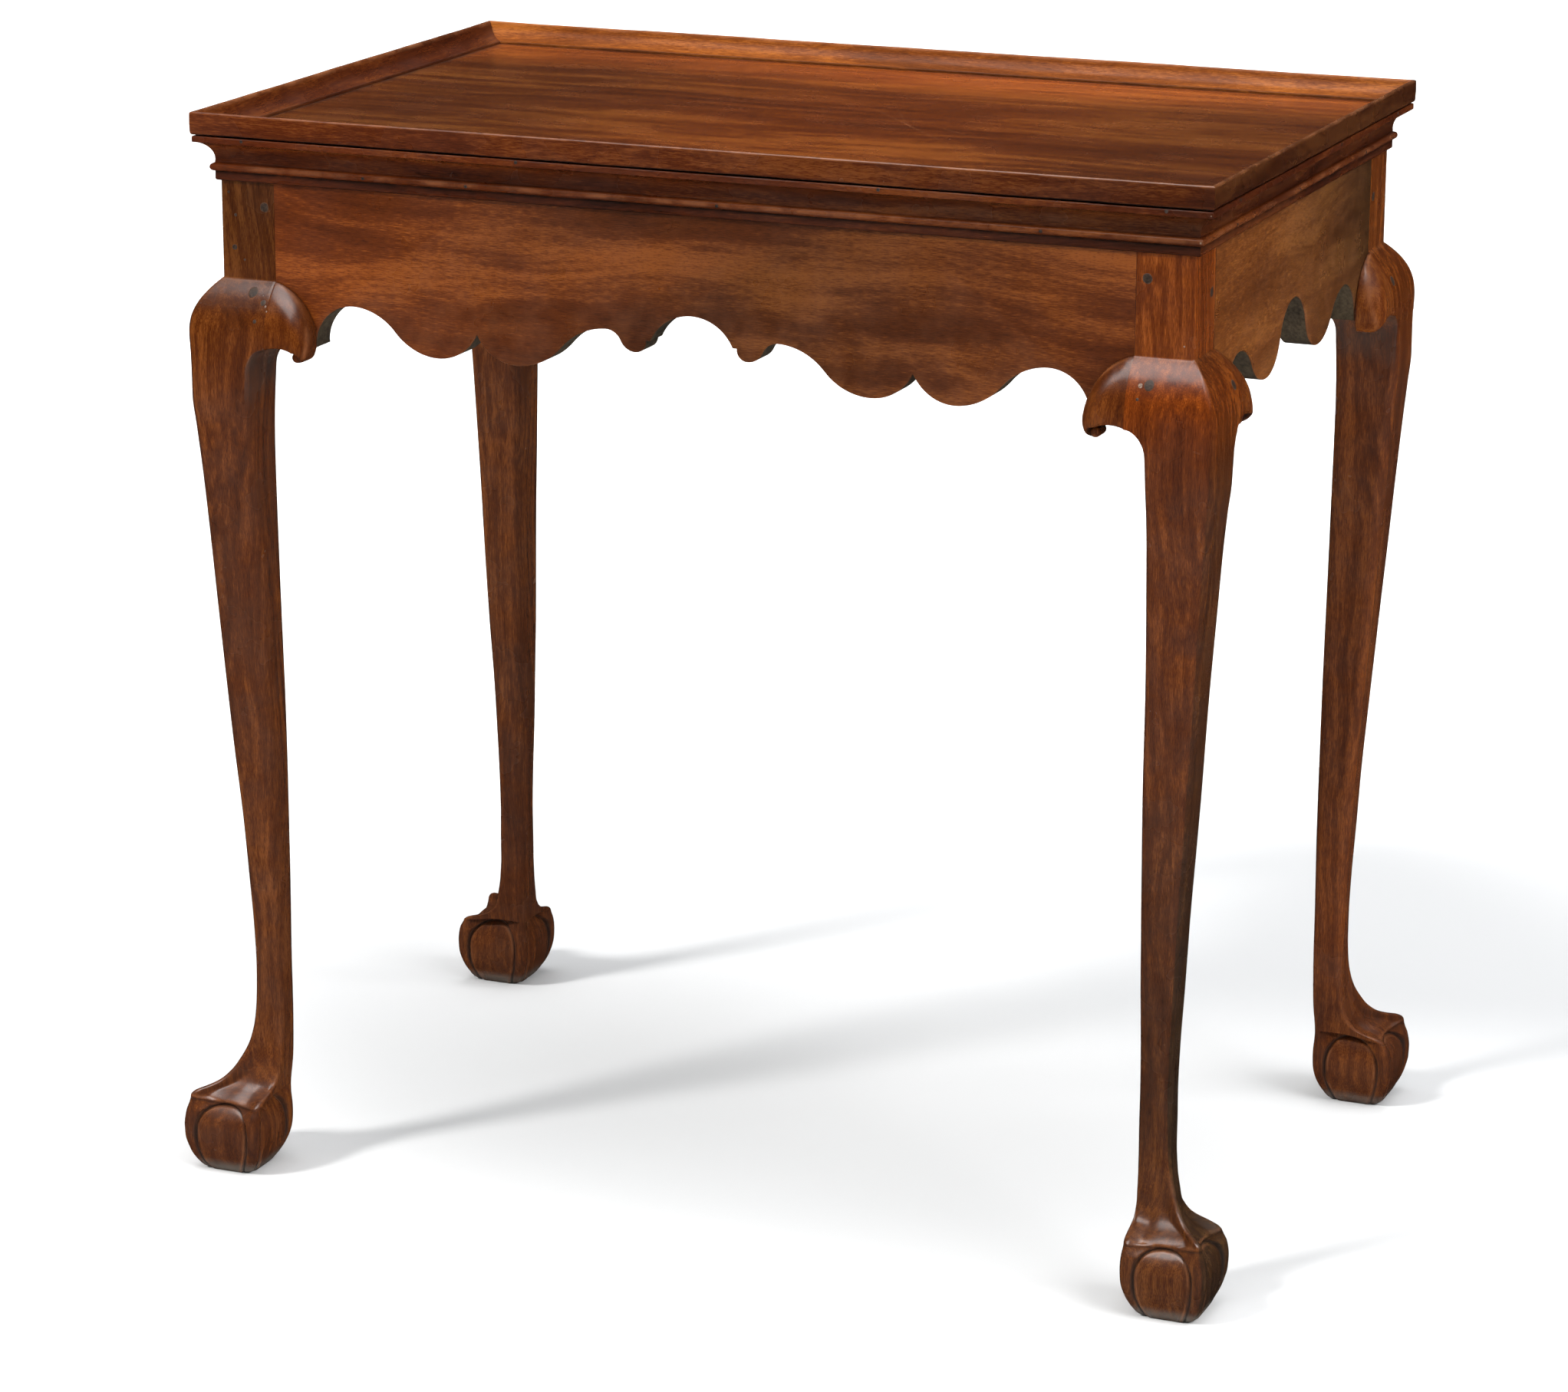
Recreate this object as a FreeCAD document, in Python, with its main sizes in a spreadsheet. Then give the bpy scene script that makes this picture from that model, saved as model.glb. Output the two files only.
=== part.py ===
import FreeCAD, Part
import math
import os

import Sketcher

# A tray top tea table: a shallow moulded tray on a scroll-cut frame with four cabriole legs that end in
# ball and claw feet.  X runs along the table, Y from front to back, Z up, and the origin lies on the floor
# under the middle of the tray.  Everything is in millimetres.

DIMENSIONS = [
    ("table_height", 700, "floor to the top of the tray rim"),
    ("tray_length", 668, "tray, outside the rim"),
    ("tray_width", 432, "tray, outside the rim"),
    ("tray_overhang", 14, "from the frame's face out to the rim's face"),
    ("rim_height", 14.5, "visible outer face of the rim"),
    ("rim_top_width", 3.5, "flat on the top of the rim"),
    ("rim_lap", 3, "how far the rim laps over the board"),
    ("rim_toe", 1.4, "upright step at the foot of the rim's hollow"),
    ("rim_softening", 1.5, "worn lower edge of the rim's face"),
    ("rim_tongue", 4, "thickness of the tongue behind the cove moulding"),
    ("field_depth", 13, "from the top of the rim down to the board"),
    ("board_thickness", 11, "tray board"),
    ("board_rebate", 2, "depth of the rebate that the rim's lap lies in"),
    ("shadow_gap", 0.7, "between the rim and the cove moulding"),
    ("cove_height", 28.8, "cove moulding, top to bottom"),
    ("cove_reach", 13, "cove moulding's top edge beyond the frame"),
    ("cove_fascia", 4, "upright face at the top of the cove moulding"),
    ("cove_foot", 2.6, "face of the moulding under the bead"),
    ("cove_chamfer", 1, "bevel along the bottom of the cove moulding"),
    ("bead_size", 5.2, "height of the bead"),
    ("bead_rise", 8.6, "moulding's bottom edge up to the middle of the bead"),
    ("post_size", 37, "square post at the top of each leg"),
    ("post_drop", 81.5, "from the top of the frame to the knees"),
    ("apron_thickness", 20, "rails of the frame"),
    ("arch_drop", 94, "frame top down to the arches"),
    ("centre_arch_drop", 81.4, "frame top down to the middle arch"),
    ("centre_arch_height", 17.7, "middle arch, crown down to its foot"),
    ("lobe_drop", 122, "frame top down to the lobes"),
    ("cusp_drop", 104.8, "frame top down to the cusps"),
    ("pendant_drop", 107, "frame top down to the small pendants"),
    ("pendant_step", 2.7, "level step beside each pendant"),
    ("tenon_end_wood", 17, "wood of the post beyond a tenon's end"),
    ("tenon_thickness", 8, "tenon"),
    ("tenon_setback", 7, "from the face of the frame to the tenon"),
    ("tenon_top_inset", 9, "frame top down to the tenon"),
    ("tenon_drop", 107, "frame top down to the tenon's lower edge"),
    ("peg_diameter", 6.4, "wooden peg through each tenon"),
    ("peg_length", 24, "upper pegs"),
    ("peg_setback", 7, "from the shoulder of the joint to the pegs"),
    ("upper_peg_drop", 35.5, "frame top down to the upper pegs of front and back"),
    ("side_peg_shift", 11, "how much lower the side pegs sit"),
    ("lower_peg_rise", 8.5, "knee top down to the lower pegs of front and back"),
    ("knee_projection", 18.8, "knee beyond the post"),
    ("knee_rounding", 40, "depth over which the knee swells"),
    ("knee_corner", 6, "rounding of the knee's outer corner at its foot"),
    ("arris", 0.6, "softening of the sharp edges of the knee"),
    ("shaft_inset", 12, "back of the leg set in from the back of the post"),
    ("shaft_top_width", 40.5, "leg below the knee"),
    ("shaft_middle_width", 29.5, "leg half way down"),
    ("ankle_width", 21.2, "thinnest part of the leg"),
    ("ankle_level", 130, "floor to the thinnest part"),
    ("shaft_corner", 8.5, "rounding of the shaft's corners"),
    ("foot_height", 65, "floor to the top of the claws"),
    ("ball_radius", 27.5, "ball held by the claws"),
    ("ball_flat", 4, "how much of the ball is cut off at the floor"),
    ("talon_spread", 19.6, "claws from the middle of the foot, along X and along Y"),
    ("talon_radius", 7.9, "claw at its middle knuckle"),
    ("bracket_reach", 28, "knee bracket along the apron"),
    ("bracket_lap", 1, "how far the bracket covers the end of the scroll-cut edge"),
    ("bracket_depth", 48, "knee bracket, top to underside at the leg"),
    ("scroll_radius", 4.6, "rounded scroll at the tip of the bracket"),
    ("block_length", 60, "glue blocks under the board"),
    ("block_size", 16, "glue blocks, square section"),
    ("nail_diameter", 2, "nails through the cove moulding"),
    ("nail_length", 20, "nails through the cove moulding"),
    ("nail_sink", 0.2, "nail heads below the surface"),
    ("fascia_nail_drop", 1.4, "top of the cove moulding down to its upper nails"),
]

# The scroll-cut edge is drawn to fill the opening between the brackets, so its stations along the apron
# are shares of that half opening, counted from the middle.
LONG_STATIONS = {"pendant": 0.145, "inner_arch": 0.222, "inner_lobe": 0.459, "cusp": 0.563,
                 "outer_lobe": 0.670, "outer_arch": 0.896}
SHORT_STATIONS = {"lobe": 0.400, "outer_arch": 0.815}
CENTRE_ARCH_SHARE = 0.1065

# Where the nails of the cove moulding stand along a side, as shares of its length from the middle: a row
# through the bead into the rail, and a row through the fascia into the edge of the board.
LONG_NAILS = {"bead": (-0.352, -0.030, 0.231, 0.341), "fascia": (-0.476, -0.197, 0.172, 0.466)}
SHORT_NAILS = {"bead": (-0.330, 0.030, 0.350), "fascia": (-0.440, -0.120, 0.400)}

# The shaft between knee and ankle: how far down a section lies, as a share of the shaft, and how its width
# is mixed from the top, middle and ankle widths.
SHAFT_MIX = [(0, 1, 0, 0), (0.23, 0.55, 0.45, 0), (0.51, 0, 1, 0), (0.80, 0, 0.41, 0.59), (1, 0, 0, 1)]

# The claws: level as a share of the foot's height, then reach and girth as shares of the claw sizes.
TALON_STATIONS = [(0.955, 0.70, 1.05), (0.785, 0.98, 1.12), (0.645, 1.0, 0.95), (0.49, 1.03, 1.0),
                  (0.245, 0.97, 0.90), (0, 0.82, 0.74)]

Vector = FreeCAD.Vector
doc = FreeCAD.newDocument("TrayTopTeaTable")
sheet = doc.addObject("Spreadsheet::Sheet", "Sizes")
for row, (alias, number, meaning) in enumerate(DIMENSIONS, start=1):
    sheet.set(f"A{row}", meaning)
    sheet.set(f"B{row}", str(number))
    sheet.setAlias(f"B{row}", alias)
doc.recompute()


class Measure:
    """A length and the spreadsheet expression that gives it."""

    def __init__(self, value, text):
        self.value = value
        self.text = text

    def joined(self, other, sign, result):
        text = other.text if isinstance(other, Measure) else repr(other)
        return Measure(result, f"({self.text} {sign} {text})")

    def __add__(self, other):
        return self.joined(other, "+", self.value + plain(other))

    def __sub__(self, other):
        return self.joined(other, "-", self.value - plain(other))

    def __mul__(self, other):
        return self.joined(other, "*", self.value * plain(other))

    def __truediv__(self, other):
        return self.joined(other, "/", self.value / plain(other))

    def __neg__(self):
        return Measure(-self.value, f"(0 - {self.text})")


def plain(number):
    return number.value if isinstance(number, Measure) else number


def size(alias):
    return Measure(float(getattr(sheet, alias)), f"Sizes.{alias}")


ZERO = Measure(0.0, "0")

# ---- Places that several pieces share

frame_length = size("tray_length") - size("tray_overhang") * 2
frame_width = size("tray_width") - size("tray_overhang") * 2
rim_bottom = size("table_height") - size("rim_height")
field_level = size("table_height") - size("field_depth")
frame_top = field_level - size("board_thickness")
knee_top = frame_top - size("post_drop")
cove_top = rim_bottom - size("shadow_gap")
cove_bottom = cove_top - size("cove_height")
bead_level = cove_bottom + size("bead_rise")
tenon_length = size("post_size") - size("tenon_end_wood")
lap_level = field_level - size("board_rebate")

# A side of the table: its name, the turn of its own frame about Z, the frame's length along it, how far
# its face stands from the middle, the names of its ends in its own -X and +X, and the stations of its
# scroll-cut edge and nails.  In its own frame the outside of the table is +Y and the face of the table's
# frame is y = 0.
SIDES = [
    ("front", 180, frame_length, frame_width / 2, ("right", "left"), LONG_STATIONS, LONG_NAILS),
    ("back", 0, frame_length, frame_width / 2, ("left", "right"), LONG_STATIONS, LONG_NAILS),
    ("left", 90, frame_width, frame_length / 2, ("front", "back"), SHORT_STATIONS, SHORT_NAILS),
    ("right", -90, frame_width, frame_length / 2, ("back", "front"), SHORT_STATIONS, SHORT_NAILS),
]

# The legs, by corner: the turn that carries the corner (+X, +Y) to this one.
CORNERS = [("back_right", 0, 1, 1), ("back_left", 90, -1, 1), ("front_left", 180, -1, -1),
           ("front_right", 270, 1, -1)]

sub_parts = []


def publish(item, label):
    """Gives a finished sub-part the name that its file takes."""
    item.Label = label
    sub_parts.append(item)
    return item


def turn_about_z(angle):
    return FreeCAD.Rotation(Vector(0, 0, 1), angle)


def place_on_side(item, turn, reach):
    """Puts an object drawn in a side's own frame where that side is."""
    direction = turn_about_z(turn).multVec(Vector(0, 1, 0))
    item.Placement = FreeCAD.Placement(direction * reach.value, turn_about_z(turn))
    for axis, share in (("x", direction.x), ("y", direction.y)):
        if abs(share) > 0.5:
            item.setExpression(f"Placement.Base.{axis}", (reach * round(share)).text)


# ---- Sketches, pads and pockets

def origin_plane(body, role):
    return next(plane for plane in body.Origin.OriginFeatures if plane.Role == role)


def same_place(first, second):
    return first.distanceToPoint(second) < 1e-6


def outline_sketch(body, name, role, corners):
    """A closed outline on one of the body's own planes.

    Each corner is (x, y) in Measures, or (x, y, radius, middle) where an arc of that radius runs on to
    the next corner through a point near middle."""
    sketch = body.newObject("Sketcher::SketchObject", name)
    sketch.AttachmentSupport = [(origin_plane(body, role), "")]
    sketch.MapMode = "FlatFace"
    points = [Vector(corner[0].value, corner[1].value, 0) for corner in corners]
    starts = []
    ends = []
    for index, corner in enumerate(corners):
        start = points[index]
        end = points[(index + 1) % len(points)]
        if len(corner) == 2:
            geometry = sketch.addGeometry(Part.LineSegment(start, end), False)
        else:
            geometry = sketch.addGeometry(Part.ArcOfCircle(start, Vector(*corner[3], 0), end), False)
        forward = same_place(sketch.getPoint(geometry, 1), start)
        starts.append((geometry, 1 if forward else 2))
        ends.append((geometry, 2 if forward else 1))
    for index, corner in enumerate(corners):
        geometry, which = starts[index]
        for kind, measure in (("DistanceX", corner[0]), ("DistanceY", corner[1])):
            number = sketch.addConstraint(Sketcher.Constraint(kind, -1, 1, geometry, which, measure.value))
            sketch.setExpression(f"Constraints[{number}]", measure.text)
        follower = starts[(index + 1) % len(corners)]
        sketch.addConstraint(Sketcher.Constraint("Coincident", *ends[index], *follower))
        if len(corner) == 4:
            radius = corner[2]
            number = sketch.addConstraint(Sketcher.Constraint("Radius", geometry, radius.value))
            sketch.setExpression(f"Constraints[{number}]", radius.text)
    return sketch


def rectangle(left, bottom, right, top):
    return [(left, bottom), (right, bottom), (right, top), (left, top)]


def pad_both_ways(body, sketch, name, length):
    pad = body.newObject("PartDesign::Pad", name)
    pad.Profile = sketch
    pad.SideType = "Symmetric"
    pad.Length = length.value
    pad.setExpression("Length", length.text)
    sketch.Visibility = False
    return pad


def arc_radius(start, end, middle):
    return Part.ArcOfCircle(start, middle, end).Radius


# ---- Long pieces with a constant section: rims, mouldings and rails

def cut_mitres(body, name, span, inner, outer):
    """Cuts both ends of a strip at 45 degrees, so that it meets its neighbours at the corners."""
    for end, sign in (("low", -1), ("high", 1)):
        corners = [((span / 2 + inner) * sign, inner), ((span / 2 + outer) * sign, outer),
                   ((span / 2 + outer * 2) * sign, inner)]
        sketch = outline_sketch(body, f"{name}_{end}_mitre_outline", "XY_Plane", corners)
        pocket = body.newObject("PartDesign::Pocket", f"{name}_{end}_mitre")
        pocket.Profile = sketch
        pocket.Type = "ThroughAll"
        pocket.SideType = "Symmetric"
        sketch.Visibility = False


def make_strip(name, section, side, inner, outer):
    _, turn, span, reach, *_ = side
    body = doc.addObject("PartDesign::Body", f"{name}_body")
    sketch = outline_sketch(body, f"{name}_section", "YZ_Plane", section)
    pad_both_ways(body, sketch, f"{name}_pad", span + outer * 2)
    cut_mitres(body, name, span, inner, outer)
    place_on_side(body, turn, reach)
    return body


def rim_section():
    """The rim strip: upright outer face, hollow inner face, and a tongue glued to the board's edge."""
    face = size("tray_overhang")
    top = size("table_height")
    toe = -size("rim_lap")
    step_top = field_level + size("rim_toe")
    lip = face - size("rim_top_width")
    softening = size("rim_softening")
    run = lip - toe
    rise = top - step_top
    hollow_middle = ((toe + run * 0.62).value, (step_top + rise * 0.30).value)
    hollow = hollow_radius((toe.value, step_top.value), (lip.value, top.value), hollow_middle)
    return [
        (ZERO, frame_top),
        (size("rim_tongue"), frame_top),
        (size("rim_tongue"), rim_bottom),
        (face - softening, rim_bottom),
        (face, rim_bottom + softening),
        (face, top - softening / 2),
        (face - softening / 2, top),
        (lip, top, Measure(hollow, repr(hollow)), hollow_middle),
        (toe, step_top),
        (toe, lap_level),
        (ZERO, lap_level),
    ]


def hollow_radius(start, end, middle):
    return arc_radius(Vector(*start, 0), Vector(*end, 0), Vector(*middle, 0))


def cove_section():
    """The cove moulding under the tray: fascia, quarter hollow, bead and foot."""
    reach = size("cove_reach")
    foot = size("cove_foot")
    tongue = size("rim_tongue")
    bead_top = bead_level + size("bead_size") / 2
    bead_bottom = bead_level - size("bead_size") / 2
    hollow_top = cove_top - size("cove_fascia")
    slope = (reach - foot).value
    fall = (hollow_top - bead_top).value
    hollow_middle = (foot.value + slope * 0.30, bead_top.value + fall * 0.72)
    hollow = hollow_radius((reach.value, hollow_top.value), (foot.value, bead_top.value), hollow_middle)
    bead_radius = size("bead_size") * 0.505
    bead_middle = (foot.value + bead_radius.value * 0.86, bead_level.value)
    return [
        (ZERO, cove_bottom),
        (foot - size("cove_chamfer"), cove_bottom),
        (foot, cove_bottom + size("cove_chamfer")),
        (foot, bead_bottom, bead_radius, bead_middle),
        (foot, bead_top, Measure(hollow, repr(hollow)), hollow_middle),
        (reach, hollow_top),
        (reach, cove_top),
        (tongue, cove_top),
        (tongue, frame_top),
        (ZERO, frame_top),
    ]


# ---- The scroll-cut lower edge of the rails

def level_arc(level_point, other):
    """The middle point of an arc that is level at level_point and ends at other."""
    across = other[0] - level_point[0]
    up = other[1] - level_point[1]
    radius = (across * across + up * up) / (2 * up)
    half_turn = math.atan2(abs(up), abs(across))
    return (level_point[0] + math.copysign(radius * math.sin(half_turn), across),
            level_point[1] + radius * (1 - math.cos(half_turn)))


def edge_between(start, middle, end):
    return Part.Arc(Vector(start[0], 0, start[1]), Vector(middle[0], 0, middle[1]),
                    Vector(end[0], 0, end[1])).toShape()


def straight(start, end):
    return Part.makeLine(Vector(start[0], 0, start[1]), Vector(end[0], 0, end[1]))


def swan_neck(start, end):
    """Two equal arcs that leave start and reach end level, as a smooth S."""
    half_way = ((start[0] + end[0]) / 2, (start[1] + end[1]) / 2)
    return [edge_between(start, level_arc(start, half_way), half_way),
            edge_between(half_way, level_arc(end, half_way), end)]


def bend(level_point, other):
    return [edge_between(level_point, level_arc(level_point, other), other)]


def drop_level(alias):
    return (frame_top - size(alias)).value


def apron_end_level():
    return (frame_top - size("lobe_drop") + size("pendant_step")).value


def long_scroll(half, stations):
    """Half of the long rails' lower edge, from the middle out to the bracket."""
    arch = drop_level("arch_drop")
    lobe = drop_level("lobe_drop")
    centre_arch = drop_level("centre_arch_drop")
    pendant = drop_level("pendant_drop")
    step = size("pendant_step").value
    crown = (0, centre_arch)
    arch_foot = (half * CENTRE_ARCH_SHARE, centre_arch - size("centre_arch_height").value)
    ledge = (arch_foot[0] + step, arch_foot[1])
    drip = (half * stations["pendant"], pendant)
    inner_arch = (half * stations["inner_arch"], arch)
    inner_lobe = (half * stations["inner_lobe"], lobe)
    cusp = (half * stations["cusp"], drop_level("cusp_drop"))
    outer_lobe = (half * stations["outer_lobe"], lobe)
    outer_arch = (half * stations["outer_arch"], arch)
    tip = (half, apron_end_level())
    return (bend(crown, arch_foot) + [straight(arch_foot, ledge)] + bend(drip, ledge)
            + swan_neck(drip, inner_arch) + swan_neck(inner_arch, inner_lobe)
            + bend(inner_lobe, cusp) + bend(outer_lobe, cusp)
            + swan_neck(outer_lobe, outer_arch) + bend(outer_arch, tip))


def short_scroll(half, stations):
    """Half of the short rails' lower edge, from the middle out to the bracket."""
    crown = (0, drop_level("centre_arch_drop"))
    lobe = (half * stations["lobe"], drop_level("lobe_drop"))
    outer_arch = (half * stations["outer_arch"], drop_level("arch_drop"))
    tip = (half, apron_end_level())
    return swan_neck(crown, lobe) + swan_neck(lobe, outer_arch) + bend(outer_arch, tip)


def mirrored(edges):
    return [edge.mirror(Vector(0, 0, 0), Vector(1, 0, 0)) for edge in edges]


def scroll_cutter(span, stations):
    """The waste below the scroll-cut edge, between the two brackets."""
    half = (span / 2 - size("post_size") - size("bracket_reach") + size("bracket_lap")).value
    draw = long_scroll if "pendant" in stations else short_scroll
    scroll = draw(half, stations)
    low = drop_level("lobe_drop") - size("post_size").value
    tip = (half, apron_end_level())
    across = [straight(tip, (half, low)), straight((half, low), (-half, low)),
              straight((-half, low), (-half, tip[1]))]
    wire = Part.Wire(Part.__sortEdges__(scroll + mirrored(scroll) + across))
    depth = size("apron_thickness").value
    return Part.Face(wire).extrude(Vector(0, -3 * depth, 0)).translated(Vector(0, depth, 0))


def make_apron_plank(side):
    """A rail with its two tenons, before the scroll is cut."""
    name, turn, span, reach, *_ = side
    body = doc.addObject("PartDesign::Body", f"apron_{name}_plank")
    shoulder_length = span - size("post_size") * 2
    bottom = frame_top - size("lobe_drop")
    plank = outline_sketch(body, f"apron_{name}_section", "YZ_Plane",
                           rectangle(-size("apron_thickness"), bottom, ZERO, frame_top))
    pad_both_ways(body, plank, f"apron_{name}_board", shoulder_length)
    tenon = outline_sketch(body, f"apron_{name}_tenon_section", "YZ_Plane",
                           rectangle(*tenon_section()))
    pad_both_ways(body, tenon, f"apron_{name}_tenons", shoulder_length + tenon_length * 2)
    place_on_side(body, turn, reach)
    return body


def tenon_section():
    outer = -size("tenon_setback")
    return (outer - size("tenon_thickness"), frame_top - size("tenon_drop"),
            outer, frame_top - size("tenon_top_inset"))


# ---- Pegs and nails

def peg_spots(side):
    """The pegs of one side, as (x, z, is it a lower one) in the side's own frame."""
    name, _, span, *_ = side
    shift = size("side_peg_shift").value if name in ("left", "right") else 0
    across = (span / 2 - size("post_size") + size("peg_setback")).value
    upper = (frame_top - size("upper_peg_drop")).value - shift
    lower = (knee_top - size("lower_peg_rise")).value - shift
    return [(sign * across, level, level == lower) for sign in (-1, 1) for level in (upper, lower)]


def peg_cylinder(across, level, is_lower):
    """A peg from its inner end out to the post's face, or past the knee's surface if it is a lower one."""
    past = size("knee_projection").value if is_lower else 0
    length = size("peg_length").value
    return Part.makeCylinder(size("peg_diameter").value / 2, length + past,
                             Vector(across, -length, level), Vector(0, 1, 0))


def side_placement(side):
    _, turn, _, reach, *_ = side
    rotation = turn_about_z(turn)
    return FreeCAD.Placement(rotation.multVec(Vector(0, 1, 0)) * reach.value, rotation)


def corner_placement(corner):
    _, turn, x_sign, y_sign = corner
    base = Vector(x_sign * frame_length.value / 2, y_sign * frame_width.value / 2, 0)
    return FreeCAD.Placement(base, turn_about_z(turn))


def carried(shape, start, target=FreeCAD.Placement()):
    """A copy of a shape drawn in one frame, as seen from another."""
    return shape.transformed((target.inverse() * start).toMatrix(), True)


def nail_rows():
    """The rows of nails: name, level and how far their heads stand out from the face of the frame."""
    bead_crest = size("cove_foot") + size("bead_size") / 2
    return [("bead", bead_level, bead_crest - size("nail_sink")),
            ("fascia", cove_top - size("fascia_nail_drop"), size("cove_reach") - size("nail_sink"))]


def make_nails(side):
    """The nails of one side's cove moulding."""
    name, turn, span, reach, _, _, nail_shares = side
    nails = []
    for row, level, head in nail_rows():
        inner = head - size("nail_length")
        for index, share in enumerate(nail_shares[row]):
            nail = doc.addObject("Part::Cylinder", f"{row}_nail_{name}_{index + 1}")
            nail.setExpression("Radius", (size("nail_diameter") / 2).text)
            nail.setExpression("Height", size("nail_length").text)
            across = span * share
            nail.Placement = FreeCAD.Placement(Vector(across.value, inner.value, level.value),
                                               FreeCAD.Rotation(Vector(1, 0, 0), -90))
            for axis, measure in (("x", across), ("y", inner), ("z", level)):
                nail.setExpression(f"Placement.Base.{axis}", measure.text)
            nails.append(nail)
    group = doc.addObject("Part::Compound", f"nails_{name}")
    group.Links = nails
    place_on_side(group, turn, reach)
    return group


def drilled(item, tool, name):
    """The item with the nails or pegs of the tool cut out of it."""
    cut = doc.addObject("Part::Cut", name)
    cut.Base = item
    cut.Tool = tool
    return cut


# ---- Legs

def rounded_square(low, high, outer_radius, radius, level):
    """A level square from low to high, along X and along Y alike, with its outer corner rounded apart."""
    turns = [(high, high, -1, -1, outer_radius), (low, high, 1, -1, radius),
             (low, low, 1, 1, radius), (high, low, -1, 1, radius)]
    arcs = []
    for index, (x, y, x_sign, y_sign, rounding) in enumerate(turns):
        centre = Vector(x + x_sign * rounding, y + y_sign * rounding, level)
        circle = Part.Circle(centre, Vector(0, 0, 1), rounding)
        arcs.append(circle.toShape(math.pi / 2 * index, math.pi / 2 * (index + 1)))
    edges = []
    for index, arc in enumerate(arcs):
        following = arcs[(index + 1) % len(arcs)]
        edges.append(arc)
        edges.append(Part.makeLine(arc.Vertexes[-1].Point, following.Vertexes[0].Point))
    return Part.Wire(edges)


def knee_swell(depth):
    """How far the knee stands out of the post, at a depth below the knee's top."""
    rounding = size("knee_rounding").value
    left = max(0.0, 1 - depth / rounding)
    return size("knee_projection").value * (1 - left ** 2.4)


def knee_sections():
    """Level sections of the knee from its top to the underside of the brackets.

    Each is (low, high, outer corner, other corners, level)."""
    top = knee_top.value
    low = -size("post_size").value
    arris = size("arris").value
    corner = size("knee_corner").value
    depth = size("bracket_depth").value
    return [(low, knee_swell(depth * share), arris + (corner - arris) * share, arris, top - depth * share)
            for share in (0, 0.12, 0.30, 0.55, 0.80, 1)]


def shaft_sections():
    """Level sections of the leg from the foot of the knee down to the palm, as knee_sections gives them."""
    inset = size("shaft_inset").value
    back = inset - size("post_size").value
    corner = size("shaft_corner").value
    projection = size("knee_projection").value
    ankle = size("ankle_width").value
    ankle_level = size("ankle_level").value
    knee_foot = knee_sections()[-1]
    drop = (knee_foot[-1] - ankle_level) / 35
    sections = [knee_foot]
    for share, drops, reach in ((0.26, 1, 1), (0.03, 2.7, 0.98)):
        level = knee_foot[-1] - drops * drop
        sections.append((back - share * inset, reach * projection, 0.85 * corner, 0.75 * corner, level))
    upper = knee_foot[-1] - 5.5 * drop
    for share, *mix in SHAFT_MIX:
        widths = (size("shaft_top_width").value, size("shaft_middle_width").value, ankle)
        width = sum(part * wide for part, wide in zip(mix, widths))
        sections.append((back, back + width, corner, corner, upper - (upper - ankle_level) * share))
    foot = size("foot_height").value
    middle = foot_middle()
    spread = size("talon_spread").value + size("talon_radius").value
    palm = [
        (1.49, back, back + ankle + 0.06 * spread, 1.0),
        (1.20, back, back + ankle + 0.21 * spread, 1.0),
        (1.0, back, middle + 0.25 * spread, 1.0),
        (0.877, middle - 0.94 * spread, middle + 0.70 * spread, 1.2),
        (0.77, middle - 0.96 * spread, middle + 0.92 * spread, 1.4),
        (0.645, middle - 0.82 * spread, middle + 0.82 * spread, 1.5),
    ]
    return sections + [(low, high, corner * rounding, corner * rounding, foot * share)
                       for share, low, high, rounding in palm]


def foot_middle():
    """Where the middle of the foot lies, along X and along Y alike, from the post's outer corner."""
    back = size("shaft_inset").value - size("post_size").value
    return back + size("talon_spread").value + 1.2 * size("talon_radius").value


def make_talon(x_sign, y_sign):
    """One claw, gripping the ball from its top to the floor, as a loft through level circles."""
    middle = foot_middle()
    circles = []
    for level, reach, girth in TALON_STATIONS:
        out = size("talon_spread").value * reach
        centre = Vector(middle + x_sign * out, middle + y_sign * out, size("foot_height").value * level)
        circles.append(Part.Wire(Part.makeCircle(size("talon_radius").value * girth, centre)))
    return Part.makeLoft(circles, True, False)


def make_leg_blank():
    """A whole leg in its own frame: the post's outer corner is the origin, the outside is +X and +Y."""
    post = size("post_size").value
    post_box = Part.makeBox(post, post, size("post_drop").value, Vector(-post, -post, knee_top.value))
    knee = Part.makeLoft([rounded_square(*section) for section in knee_sections()], True, False)
    shaft = Part.makeLoft([rounded_square(*section) for section in shaft_sections()], True, False)
    radius = size("ball_radius").value
    middle = foot_middle()
    ball = Part.makeSphere(radius, Vector(middle, middle, radius - size("ball_flat").value))
    talons = [make_talon(x_sign, y_sign) for x_sign in (1, -1) for y_sign in (1, -1)]
    whole = post_box.fuse([knee, shaft, ball] + talons)
    below = Part.makeBox(8 * radius, 8 * radius, radius, Vector(-4 * radius, -4 * radius, -radius))
    return whole.cut(below)


def mortise_tenons():
    """The two tenons that enter a leg, in the leg's own frame."""
    low_y, low_z, high_y, high_z = (measure.value for measure in tenon_section())
    post = size("post_size").value
    length = tenon_length.value
    first = Part.makeBox(length, high_y - low_y, high_z - low_z, Vector(-post, low_y, low_z))
    second = Part.makeBox(high_y - low_y, length, high_z - low_z, Vector(low_y, -post, low_z))
    return [first, second]


# ---- Knee brackets

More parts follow.
